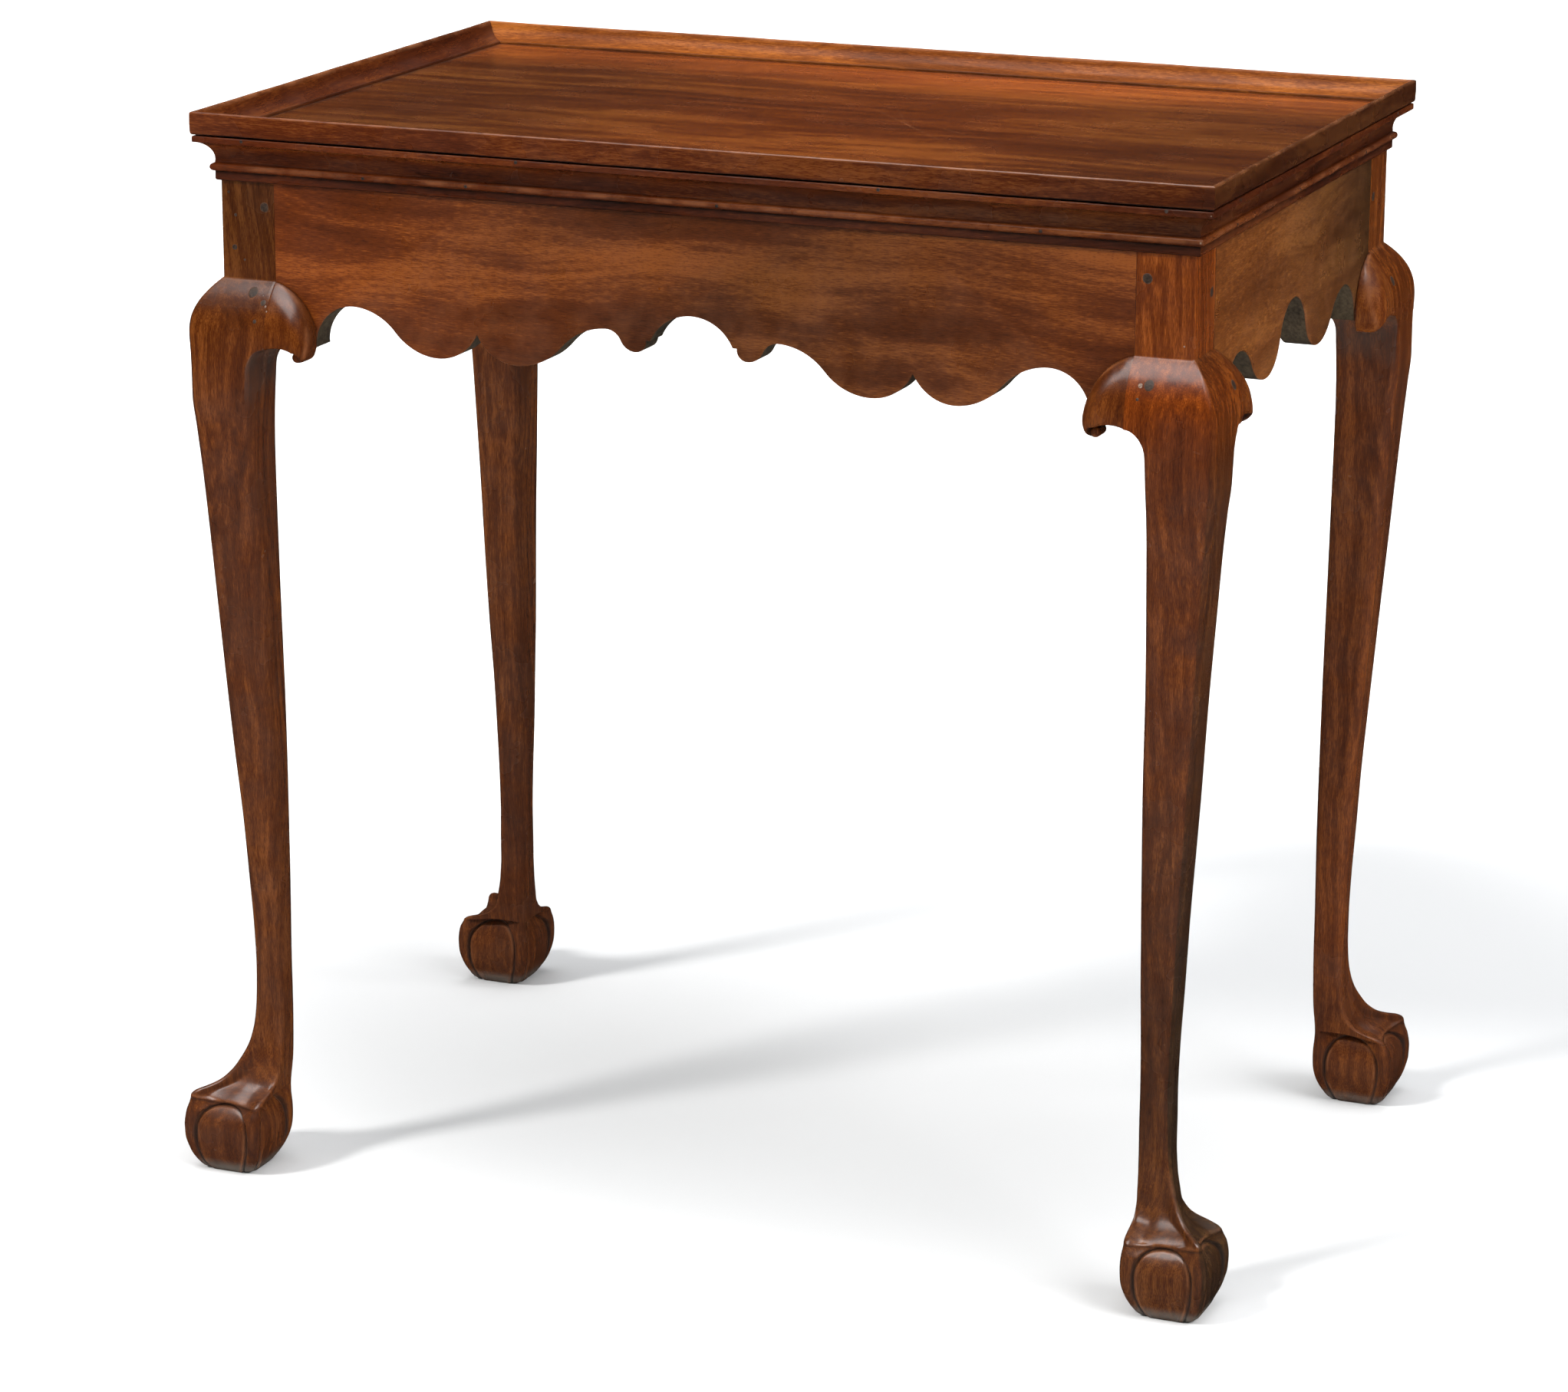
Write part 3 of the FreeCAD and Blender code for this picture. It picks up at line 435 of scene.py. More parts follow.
def make_board():
    """The sunken board, very slightly uneven on top as a hand-planed board is, with grime along its edges."""
    half_x, half_y = HALF_LENGTH - RIM_LAP, HALF_WIDTH - RIM_LAP
    columns, rows = (121, 79) if FINE else (61, 41)
    grid = np.stack(np.meshgrid(spaced(half_x, columns), spaced(half_y, rows)), axis=-1).reshape(-1, 2)
    x, y = grid.T
    inward = np.minimum(half_x - abs(x), half_y - abs(y))
    wave = ripple(grid, 150, 11) * 0.10 + ripple(grid, 45, 12) * 0.035
    top = np.column_stack([grid, FIELD - 0.15 + wave * smoothstep(0, 25, inward)])
    numbers = np.arange(len(top)).reshape(rows, columns)
    ring = np.concatenate([numbers[0], numbers[1:, -1], numbers[-1, -2::-1], numbers[-2:0:-1, 0]])
    edge = top[ring, :2]
    loops, faces = [top], grid_faces(rows, columns)
    polished = len(faces)
    # From its edge the board goes down to its rebate, out under the rim and down to the frame.
    for index, (outward, level) in enumerate(((0, FIELD - REBATE), (RIM_LAP, FIELD - REBATE),
                                              (RIM_LAP, FRAME_TOP))):
        scale = [(half_x + outward) / half_x, (half_y + outward) / half_y]
        loops.append(np.column_stack([edge * scale, np.full(len(edge), level)]))
        below = len(top) + index * len(edge) + np.arange(len(edge))
        faces += np.column_stack([ring, below, np.roll(below, -1), np.roll(ring, -1)]).tolist()
        ring = below
    faces.append(ring[::-1].tolist())
    points = np.concatenate(loops)
    grime_and_painted_shade = 0.85 * np.exp(-np.maximum(inward, 0) / 2.2)
    # Darker towards both ends, and painted lighter along the back: a painted reflection of the back rim.
    tone_and_painted_light = (0.62 * smoothstep(0, -220, x) + 0.55 * smoothstep(60, 260, x) - 0.15
             - 1.15 * smoothstep(0.50 * half_y, 0.95 * half_y, y))
    unseen = np.zeros(len(points) - len(top))
    masks = {"grime_and_painted_shade": np.append(grime_and_painted_shade, unseen), "tone_and_painted_light": np.append(tone_and_painted_light, unseen)}
    polish = wood("board_polish", ALONG_X, (0.3, 0.11, 0.2), DEEP_BROWN, LONG_STREAKS, 0.22,
                  scratches=SCRATCHES, gloss=0.25)
    under = raw_wood("board_underside", ALONG_X, (1.3, 0.5, 0.1))
    make_piece("tray_board_top", points, faces, [polish, under], masks, "tray_board",
               np.arange(len(faces)) >= polished, sharp_above=40)


# ---- Rims and mouldings

RIM_TOP_WIDTH, RIM_TOE, RIM_TONGUE, SHADOW_GAP = 3.5, 1.4, 4.0, 0.7
COVE_FOOT, COVE_FASCIA, BEAD, BEAD_LEVEL = 2.6, 4.0, 2.6, COVE_BOTTOM + 8.6
# How much darker each side's rim is than its wood's tones; less than nothing is lighter. The back rim is
# painted lighter: painted light on its inner face, which faces the front light.
RIM_TONES_AND_PAINTED_LIGHT = {"front": 0.32, "right": 0.85, "back": -1.0, "left": 0.2}
# Painted light along a side: how much darker its rim and moulding are at one end than in the middle, and
# lighter at the other end; the front is lighter towards its left end.
PAINTED_LIGHT_LEANS = {"front": -0.28, "back": 0.1, "left": 0.0, "right": 0.0}
STRIP_STEP = 5.0 if FINE else 15.0


def sweep_side(kind, side, section, masks, material, seed, unevenness):
    """A moulded strip along a side, mitred at both ends."""
    half_span, section = HALF_SPAN[side], np.array(section)
    rows = int(2 * half_span / STRIP_STEP) + 1
    shares = np.linspace(-1, 1, rows)[:, None]
    along = shares * (half_span + section[:, 0])
    outward, level = (np.broadcast_to(values, along.shape) for values in section.T)
    wave = ripple(np.stack([along, outward * 4, level * 4], axis=-1).reshape(-1, 3), 60, seed)
    pull = unevenness * (0.5 + 0.5 * wave.reshape(along.shape)) * (1 - shares ** 20)
    out_arm, up_arm = outward - section[:, 0].mean(), level - section[:, 1].mean()
    pull = pull / np.hypot(out_arm, up_arm)
    points = np.stack([along, outward - pull * out_arm, np.minimum(level - pull * up_arm, TABLE_TOP)], axis=-1)
    masks = {mask: np.tile(values, rows) for mask, values in masks.items()}
    masks["tone_and_painted_light"] = masks["tone_and_painted_light"] + PAINTED_LIGHT_LEANS[side] * np.repeat(shares, len(section))
    make_piece(f"{kind}_{side}_moulded", from_side(points.reshape(-1, 3), side),
               tube_faces(rows, len(section), flip=True), [material], masks, f"{kind}_{side}", sharp_above=42)


def rim_section():
    """The rim's section: (outward, level) points, clockwise from the foot of its tongue."""
    face, lip, toe = OVERHANG, OVERHANG - RIM_TOP_WIDTH, -RIM_LAP
    bottom, top, step = COVE_TOP + SHADOW_GAP, TABLE_TOP, FIELD + RIM_TOE
    run, rise = lip - toe, top - 1.2 - step
    points = [(0.0, FIELD - REBATE), (toe, FIELD - REBATE), (toe, step - 0.4), (toe + 0.3, step)]
    points += arc((toe + 0.6, step + 0.1), (toe + run * 0.62, step + rise * 0.30), (lip, top - 1.2), 12)
    points += arc((lip, top - 1.2), (lip + 0.5, top - 0.35), (lip + 1.5, top), 4)
    points += [(lip + 1.5, top), (face - 1.4, top)]
    points += arc((face - 1.4, top), (face - 0.45, top - 0.4), (face - 0.1, top - 1.6), 4)
    points += [(face - 0.1, top - 1.6), (face, top - 7.0), (face - 0.2, bottom + 2.2)]
    points += arc((face - 0.3, bottom + 1.6), (face - 0.7, bottom + 0.5), (face - 1.6, bottom), 4)
    return points + [(face - 1.6, bottom), (RIM_TONGUE, bottom), (RIM_TONGUE, FRAME_TOP), (0.0, FRAME_TOP)]


def rim_masks(section, side):
    """Wear and a painted highlight along the rim's crest, grime in its toe and painted shade underneath."""
    outward, level = np.array(section).T
    crest_wear_and_highlight = hump(outward, OVERHANG - 2.2, 2.0) * (level > TABLE_TOP - 1.3)
    toe = hump(outward, -RIM_LAP, 1.1) * (level < FIELD + 2.5)
    # Painted shade on the rim's underside, above the shadow gap.
    grime_and_painted_shade = np.minimum(1.0, 0.5 * toe + 0.9 * (level < COVE_TOP + 1.3))
    return {"wear_and_painted_highlight": crest_wear_and_highlight, "grime_and_painted_shade": grime_and_painted_shade, "tone_and_painted_light": np.full(len(section), RIM_TONES_AND_PAINTED_LIGHT[side])}


def cove_section():
    """The cove moulding's section: foot, bead, hollow and fascia."""
    neck, hollow_top = COVE_FOOT - 0.1, COVE_TOP - COVE_FASCIA
    points = [(0.0, FRAME_TOP), (0.0, COVE_BOTTOM), (COVE_FOOT - 1.1, COVE_BOTTOM),
              (COVE_FOOT - 0.4, COVE_BOTTOM + 0.4), (COVE_FOOT, COVE_BOTTOM + 1.2),
              (COVE_FOOT, BEAD_LEVEL - BEAD - 0.3)]
    points += arc((neck, BEAD_LEVEL - BEAD), (COVE_FOOT + BEAD, BEAD_LEVEL), (neck, BEAD_LEVEL + BEAD), 10)
    low, high = (COVE_FOOT, BEAD_LEVEL + BEAD + 0.5), (COVE_REACH - 1.0, hollow_top)
    middle = (COVE_FOOT + (high[0] - COVE_FOOT) * 0.30, low[1] + (high[1] - low[1]) * 0.72)
    points += [(neck, BEAD_LEVEL + BEAD + 0.1)] + arc(low, middle, high, 12)
    return points + [high, (COVE_REACH - 0.2, hollow_top + 0.1), (COVE_REACH, hollow_top + 0.5),
                     (COVE_REACH, COVE_TOP - 0.5), (COVE_REACH - 0.5, COVE_TOP), (RIM_TONGUE, COVE_TOP),
                     (RIM_TONGUE, FRAME_TOP)]


def cove_masks(section):
    """Grime and painted shade in the quirks beside the bead and under the foot, a painted highlight along the
    bead, and painted shade in the hollow.
    """
    outward, level = np.array(section).T
    on_bead = outward > COVE_FOOT + 0.8
    # Grime and painted shade: dark lines in the quirks beside the bead and along the foot.
    quirks = (hump(level, BEAD_LEVEL - 3.1, 1.0) + hump(level, BEAD_LEVEL + 3.0, 1.0)) * ~on_bead
    grime_and_painted_shade = np.where(level < BEAD_LEVEL, 0.95, 0.5) * quirks + 0.6 * hump(level, COVE_BOTTOM, 0.9)
    painted_shade_in_hollow = (level > BEAD_LEVEL + 3.2) & (level < COVE_TOP - 4.5)
    return {"wear_and_painted_highlight": 0.55 * hump(level, BEAD_LEVEL + 0.6, 1.6) * on_bead, "grime_and_painted_shade": np.minimum(1.0, grime_and_painted_shade),
            "tone_and_painted_light": np.where(painted_shade_in_hollow, 0.5, 0.15)}


def make_mouldings(side):
    """A side's rim and the cove moulding under it."""
    index = SIDES.index(side)
    # The back's rim and moulding take golden tones: painted light on the back rim's inner face, which faces the
    # front light.
    tones, gloss = (GOLDEN_BROWN, 0.06) if side == "back" else (DARK_BROWN, 0.24)
    polish = wood(f"rim_polish_{side}", GRAIN[side], (0.5 * index, 0.31, 0.13 * index), tones, LONG_STREAKS,
                  0.26, gloss=gloss)
    section = rim_section()
    sweep_side("tray_rim", side, section, rim_masks(section, side), polish, 20 + index, 0.30)
    polish = wood(f"cove_polish_{side}", GRAIN[side], (0.9 * index, 0.12, 0.4), tones, LONG_STREAKS, 0.26)
    section = cove_section()
    sweep_side("cove_moulding", side, section, cove_masks(section), polish, 30 + index, 0.20)


# ---- Aprons

# Where the turns of the scroll-cut edges are, as shares of the way from the middle to the bracket.
LONG_STATIONS = {"arch_foot": 0.1065, "pendant": 0.145, "inner_arch": 0.222, "inner_lobe": 0.459, "cusp": 0.563,
                 "outer_lobe": 0.670, "outer_arch": 0.896}
SHORT_STATIONS = {"lobe": 0.400, "outer_arch": 0.815}
ARCH, LOBE, CUSP, TIP = FRAME_TOP - 94, APRON_BOTTOM, FRAME_TOP - 104.8, APRON_BOTTOM + 2.7
CENTRE_ARCH, PENDANT = FRAME_TOP - 81.4, FRAME_TOP - 107
ARCH_HEIGHT, LEDGE = 17.7, 2.7
# The apron's cut edge in layers from the front: inset, depth and wear.
APRON_LAYERS = ((1.0, 0.0, 0.3), (0.45, 0.12, 0.8), (0.12, 0.45, 0.8), (0.0, 1.0, 0.2),
                (0.0, APRON_THICKNESS * 0.5, 0.0), (0.0, APRON_THICKNESS - 0.6, 0.0),
                (0.6, APRON_THICKNESS, 0.0))
POLISHED_LAYERS = 3
CUT_ROUNDING = 0.9
# How much darker each apron is along its side, from one end to the other: partly the wood's tone and partly
# painted light, lighter towards the left end of the front and the front end of the right side.
APRON_TONES_AND_PAINTED_LIGHT = {"front": [(-1, 0.24), (-0.1, 0.72), (0.5, 0.20), (1, -0.20)], "back": [(-1, 0.3), (1, 0.4)],
                "left": [(-1, 0.1), (1, 0.3)], "right": [(-1, 0.95), (0, 0.15), (1, -0.25)]}


def swan_neck(start, end, count):
    """Two arcs that are level at their outer ends and meet half way, without the end point."""
    half_way = ((start[0] + end[0]) / 2, (start[1] + end[1]) / 2)
    return level_arc(start, half_way, count) + backward(level_arc(end, half_way, count), half_way)


def long_scroll(half, count):
    """Half of a long apron's lower edge, from the middle out to the bracket but without its tip."""
    at = {name: half * share for name, share in LONG_STATIONS.items()}
    arch_foot = (at["arch_foot"], CENTRE_ARCH - ARCH_HEIGHT)
    ledge, drip = (arch_foot[0] + LEDGE, arch_foot[1]), (at["pendant"], PENDANT)
    inner_arch, inner_lobe = (at["inner_arch"], ARCH), (at["inner_lobe"], LOBE)
    cusp, outer_lobe, outer_arch = (at["cusp"], CUSP), (at["outer_lobe"], LOBE), (at["outer_arch"], ARCH)
    return (level_arc((0.0, CENTRE_ARCH), arch_foot, 2 * count) + [arch_foot]
            + backward(level_arc(drip, ledge, count), ledge)
            + swan_neck(drip, inner_arch, count) + swan_neck(inner_arch, inner_lobe, 2 * count)
            + level_arc(inner_lobe, cusp, 2 * count)
            + backward(level_arc(outer_lobe, cusp, 2 * count), cusp)
            + swan_neck(outer_lobe, outer_arch, 2 * count) + level_arc(outer_arch, (half, TIP), 2 * count))


def short_scroll(half, count):
    """Half of a short apron's lower edge, from the middle out to the bracket but without its tip."""
    lobe, outer_arch = (half * SHORT_STATIONS["lobe"], LOBE), (half * SHORT_STATIONS["outer_arch"], ARCH)
    return (swan_neck((0.0, CENTRE_ARCH), lobe, 2 * count) + swan_neck(lobe, outer_arch, 2 * count)
            + level_arc(outer_arch, (half, TIP), 2 * count))


def apron_outline(side, half, shoulder):
    """An apron seen from the front, with a slightly uneven saw cut."""
    draw = long_scroll if side in LONG_SIDES else short_scroll
    scroll = np.array(draw(half, 7 if FINE else 4) + [(half, TIP)])
    wave = 0.35 * ripple(scroll, 70, 40 + SIDES.index(side))
    scroll[:, 1] += np.where(scroll[:, 0] < half - 3, wave, 0)
    lower = np.concatenate([scroll[:0:-1] * [-1, 1], scroll])
    ends = [(half + 0.01, APRON_BOTTOM), (shoulder, APRON_BOTTOM), (shoulder, FRAME_TOP)]
    # Points along the top let the tone and painted light change along the apron there too.
    top = [(x, FRAME_TOP) for x in np.linspace(shoulder, -shoulder, 24)[1:-1]]
    return np.concatenate([[(-x, z) for x, z in ends[::-1]], lower, ends, top])


def outline_normals(outline):
    """Unit normals of a closed outline at its points, into what lies to the left of its run."""
    runs = np.roll(outline, -1, axis=0) - outline
    runs /= np.maximum(np.linalg.norm(runs, axis=1), 1e-6)[:, None]
    mean = np.roll(runs, 1, axis=0) + runs
    normals = np.column_stack([-mean[:, 1], mean[:, 0]])
    return normals / np.maximum(np.linalg.norm(normals, axis=1), 1e-6)[:, None]


def make_apron(side):
    """A scroll-cut rail with softened edges, saw-rough where it was cut."""
    shoulder = HALF_SPAN[side] - POST
    half = shoulder - BRACKET_REACH + 1
    outline = apron_outline(side, half, shoulder)
    is_cut = (outline[:, 1] < FRAME_TOP - 60) & (abs(outline[:, 0]) < half + 0.005)
    inward = outline_normals(outline) * np.where(is_cut, CUT_ROUNDING, 0.0)[:, None]
    layers, wear_and_painted_highlight = [], []
    for inset, depth, worn in APRON_LAYERS:
        x, z = (outline + inward * inset).T
        layers.append(np.column_stack([x, -np.where(is_cut | (depth > 2), depth, 0.0), z]))
        wear_and_painted_highlight.append(np.where(is_cut, worn * 0.5, 0.0))
    points = np.concatenate(layers)
    back_bands = len(layers) - 1 - POLISHED_LAYERS
    face_materials = [0] * POLISHED_LAYERS * len(outline) + [1] * back_bands * len(outline) + [0, 1]
    masks = {"wear_and_painted_highlight": np.concatenate(wear_and_painted_highlight), "tone_and_painted_light": through(APRON_TONES_AND_PAINTED_LIGHT[side], points[:, 0] / shoulder)}
    tones, contrast, fineness = (RED_BROWN, 1.1, 0.74) if side in LONG_SIDES else (GOLDEN_BROWN, 0.7, 0.95)
    index = SIDES.index(side)
    polish = wood(f"apron_polish_{side}", GRAIN[side], (0.7 * index, 0.23 * index + 0.05, 0.4), tones,
                  contrast=contrast, gloss=0.20, fineness=fineness)
    cut = raw_wood(f"apron_cut_{side}", GRAIN[side], (0.2 * index, 0.3, 0.1))
    make_piece(f"apron_{side}_scrolled", from_side(points, side),
               tube_faces(len(layers), len(outline)), [polish, cut], masks, f"apron_{side}", face_materials,
               sharp_above=40)


# ---- Legs

KNEE_ROUNDING = 40.0
UNDERSIDE = KNEE_TOP - 41.0
TURN_IN = 16.0
SHANK = -24.4
# Outer face of the leg below the knee, from the post's outer corner: (level, outward).
LEG_FRONT = [(549, 18.8), (520, 18.8), (500, 17.2), (480, 15.5), (440, 12.6), (400, 10.0), (360, 7.45),
             (320, 5.0), (280, 2.5), (240, 0.0), (200, -1.9), (160, -3.8), (130, -4.6), (105, -4.2),
             (90, -2.6), (81, -0.4), (73, 3.2), (65, 8.4), (60, 14.0), (57.2, 19.4), (55.4, 23.6),
             (53.6, 26.4), (52.0, 27.6), (50.4, 27.8), (46.5, 28.6), (43, 29.8), (37, 31.0), (31, 31.6),
             (24, 31.5), (17, 30.4), (10, 28.6), (5, 26.6), (2, 24.8), (0, 22.8)]
# Inner face: it turns in below the brackets and then runs nearly straight to the foot.
LEG_BACK = [(533, SHANK), (500, -24.0), (400, -24.8), (300, -25.9), (200, -26.4), (140, -25.9), (100, -25.4),
            (70, -24.4), (51, -23.2), (44, -23.5), (36, -24.2), (29, -24.4), (22, -24.0), (16, -22.9),
            (10, -21.0), (5, -18.8), (2, -17.0), (0, -15.0)]
# Rounding of the leg's outer corner and of its side corners, by level.
OUTER_ROUNDING = [(676, 0.5), (594.5, 0.5), (582, 1.6), (572, 4.0), (560, 7.5), (545, 9.5), (520, 10.0),
                  (480, 9.2), (400, 8.0), (300, 7.0), (200, 8.0), (130, 7.0), (90, 4.6), (68, 3.4), (54, 4.0),
                  (43, 5.0), (31, 6.0), (17, 7.5), (10, 9.0), (5, 11.0), (0, 12.0)]
SIDE_ROUNDING = [(676, 0.5), (549, 0.5), (536, 3.2), (515, 5.6), (480, 7.5), (400, 7.8), (300, 7.0),
                 (200, 8.0), (130, 7.0), (90, 4.8), (68, 3.8), (54, 4.4), (43, 5.4), (31, 6.4), (17, 8.0),
                 (10, 9.5), (5, 11.0), (0, 12.0)]
# The ball shows in an oval on each face of the foot: half its width at each level up to its middle, and its
# radii above that.
OVAL_WIDTH = [(0, 12.2), (5, 14.3), (10, 16.2), (16, 17.9), (22, 18.8), (27, 19.0)]
OVAL_MIDDLE, OVAL_RISE, OVAL_REACH, OVAL_POWER = 27.0, 22.2, 19.0, 2.2
FOOT_HALF, LIP, BALL_RADIUS, FACE_HALF = 27.5, 51.2, 30.0, 22.0
# How far the palm is hollowed between the tendons, by level, and how wide the tendons' slopes are.
PALM_HOLLOW = [(0, 6.4), (51.2, 6.4), (52.4, 6.9), (54, 7.6), (56.5, 8.0), (60, 7.2), (66, 5.4), (73, 4.2),
               (81, 3.0), (92, 1.8), (110, 0.8), (135, 0.0), (700, 0.0)]
TENDON_SLOPE = 11.0
# How far the leg's two side corners stay behind its outer corner where the foot flares out.
SIDE_LAG = [(0, 0.0), (42, 0.0), (48, 0.6), (51.2, 1.4), (53, 2.6), (56, 5.4), (60, 7.8), (66, 7.6), (74, 5.2),
            (85, 2.8), (100, 1.2), (120, 0.0), (700, 0.0)]
# How far the middles of the outer faces hang below the outer corner, and how far the side corners do.
MIDDLE_DROOP = [(0, 0.0), (34, 0.0), (44, 1.8), (51.2, 3.2), (56, 2.8), (64, 1.4), (76, 0.3), (90, 0.0),
                (700, 0.0)]
SIDE_DROOP = [(0, 0.0), (36, 0.0), (45, 1.6), (51.2, 3.2), (57, 3.6), (66, 2.8), (80, 1.3), (100, 0.3),
              (120, 0.0), (700, 0.0)]
# How much darker each leg is than the wood of the aprons, by level; less than nothing is lighter. Partly the
# wood's tone and partly painted light: the front right knee is painted lighter where the light falls on it.
LEG_TONES_AND_PAINTED_LIGHT = {
    "front_left": [(0, 0.5), (60, 0.5), (110, 0.56), (400, 0.40), (540, 0.38), (590, 0.62), (640, 0.85),
                   (676, 0.85)],
    "front_right": [(0, 0.72), (60, 0.72), (110, 0.80), (400, 0.35), (530, 0.15), (575, -0.55), (600, -0.1),
                    (676, -0.1)],
    "back_left": [(0, 0.5), (60, 0.5), (110, 0.5), (540, 0.45), (676, 0.4)],
    "back_right": [(0, 0.5), (60, 0.5), (110, 0.27), (400, 0.32), (540, 0.27), (676, 0.2)]}
# Painted shade and light on the front right leg's right face: the leg is darker there than in front, and its
# post lighter: below and above.
PAINTED_SIDE_LIGHT = {"front_right": (0.45, -0.30)}


def knee_swell(depth):
    """How far the knee stands out of the post, at a depth below the knee's top."""
    left = np.clip(1 - np.asarray(depth, float) / KNEE_ROUNDING, 0, 1)
    return KNEE_PROJECTION * (1 - left ** 2.4)


def leg_rows():
    """The levels of the leg's rows, closest together where the shape changes fastest."""
    step = 1.0 if FINE else 2.0
    runs = [np.arange(0, 40, 0.9 * step), np.arange(40, 60, 0.5 * step), np.arange(60, 100, 1.4 * step),
            np.arange(100, 500, 5 * step), np.arange(500, 532, 2.5 * step),
            UNDERSIDE - TURN_IN + TURN_IN * np.cos(np.linspace(math.pi / 2, 0, 14)),
            UNDERSIDE + (KNEE_TOP - UNDERSIDE) * np.linspace(0.02, 1, int(36 / step)),
            [KNEE_TOP + 0.4, KNEE_TOP + 20, FRAME_TOP]]
    return np.unique(np.concatenate(runs).round(3))


def leg_low(levels):
    """Inner faces of the leg, along X and along Y alike."""
    lift = np.clip((levels - (UNDERSIDE - TURN_IN)) / TURN_IN, 0, 1)
    turned_in = -POST + (SHANK + POST) * np.sqrt(1 - lift ** 2)
    above = np.where(levels > UNDERSIDE, -POST, turned_in)
    return np.where(levels < UNDERSIDE - TURN_IN, through(LEG_BACK, levels), above)


def leg_high(levels):
    """Outer faces of the leg, along X and along Y alike."""
    above = np.where(levels > KNEE_TOP, 0.0, knee_swell(KNEE_TOP - levels))
    return np.where(levels >= UNDERSIDE, above, through(LEG_FRONT, levels))


def oval_half_width(levels):
    """Half the width of the ball's oval at some levels, nothing above it."""
    above = np.clip((levels - OVAL_MIDDLE) / OVAL_RISE, 0, 1)
    return np.where(levels < OVAL_MIDDLE, through(OVAL_WIDTH, levels),
                    OVAL_REACH * (1 - above ** OVAL_POWER) ** (1 / OVAL_POWER))


def foot_relief(across, levels, half):
    """How far the ball lies behind the foot's face, with the groove round it, and its grime and wear."""
    above = np.maximum(levels - OVAL_MIDDLE, 0) / OVAL_RISE
    ratio = ((np.abs(across) / OVAL_REACH) ** OVAL_POWER + above ** OVAL_POWER) ** (1 / OVAL_POWER)
    ratio = np.maximum(ratio, 0.2)
    from_middle = np.maximum(np.hypot(across, above * OVAL_RISE), 3.0)
    inside = np.where(levels > OVAL_MIDDLE, from_middle * (1 - ratio) / ratio,
                      oval_half_width(levels) - np.abs(across))
    rise = np.minimum(above * OVAL_RISE, 0.9 * BALL_RADIUS)
    bulge = (0.8 + 2.0 * np.minimum(np.abs(across) / OVAL_REACH, 1.1) ** 2.2
             + BALL_RADIUS - np.sqrt(BALL_RADIUS ** 2 - rise ** 2)
             + 6.9 * (np.maximum(OVAL_MIDDLE - levels, 0) / OVAL_MIDDLE) ** 3)
    soft = 0.8 + 0.7 * np.minimum(above, 1)
    share = smoothstep(-soft, soft, inside)
    brow = 6.8 * np.maximum(1 - (across / FACE_HALF) ** 2, 0) * smoothstep(34, LIP, levels)
    web = np.maximum(1.7 * hump(np.maximum(-inside, 0), 0, 3.5), brow)
    relief = (web * (1 - share) + np.maximum(bulge - (FOOT_HALF - half), web) * share
              + 0.9 * hump(inside, 0.5, 0.9))
    return relief, hump(inside, 0.2, 0.9), 0.55 * hump(inside, 2.2, 0.8)


def leg_columns(levels, half, roundings):
    """Columns round a leg's rounded square, closest together at the edge of the ball's oval.

    Gives each column's face and, by row and column, the place along the face, how far out the face is there and
    how near the corner is."""
    inner, outer = (14, 12) if FINE else (8, 6)
    inside = 1 - (1 - np.linspace(0, 1, inner, endpoint=False)) ** 1.6
    outside = np.linspace(0, 1, outer, endpoint=False) ** 1.5
    columns = []
    for face in range(4):
        for sign in (-1, 1):
            rounding = roundings[(face - 1) % 4] if sign < 0 else roundings[face]
            corner = half - rounding * (1 - math.sqrt(0.5))
            oval = np.clip(np.where(levels < LIP, oval_half_width(levels), 0.62 * corner), 0.5 * corner,
                           0.85 * corner)
            oval = oval + (0.62 * corner - oval) * smoothstep(OVAL_MIDDLE + 18, LIP, levels)
            places = [oval * share for share in inside]
            places += [oval + (corner - oval) * share for share in (*outside, 1.0)]
            run = []
            for place in places:
                past = np.clip(place - (half - rounding), 0, rounding)
                out = half - rounding + np.sqrt(rounding ** 2 - past ** 2)
                run.append((np.full(len(levels), face), sign * place, out, past / (rounding * math.sqrt(0.5))))
            columns += run[:0:-1] if sign < 0 else run[:-1]
    face, place, out, near_corner = np.stack(columns, axis=-1)
    return face[0].astype(int), place, out, near_corner


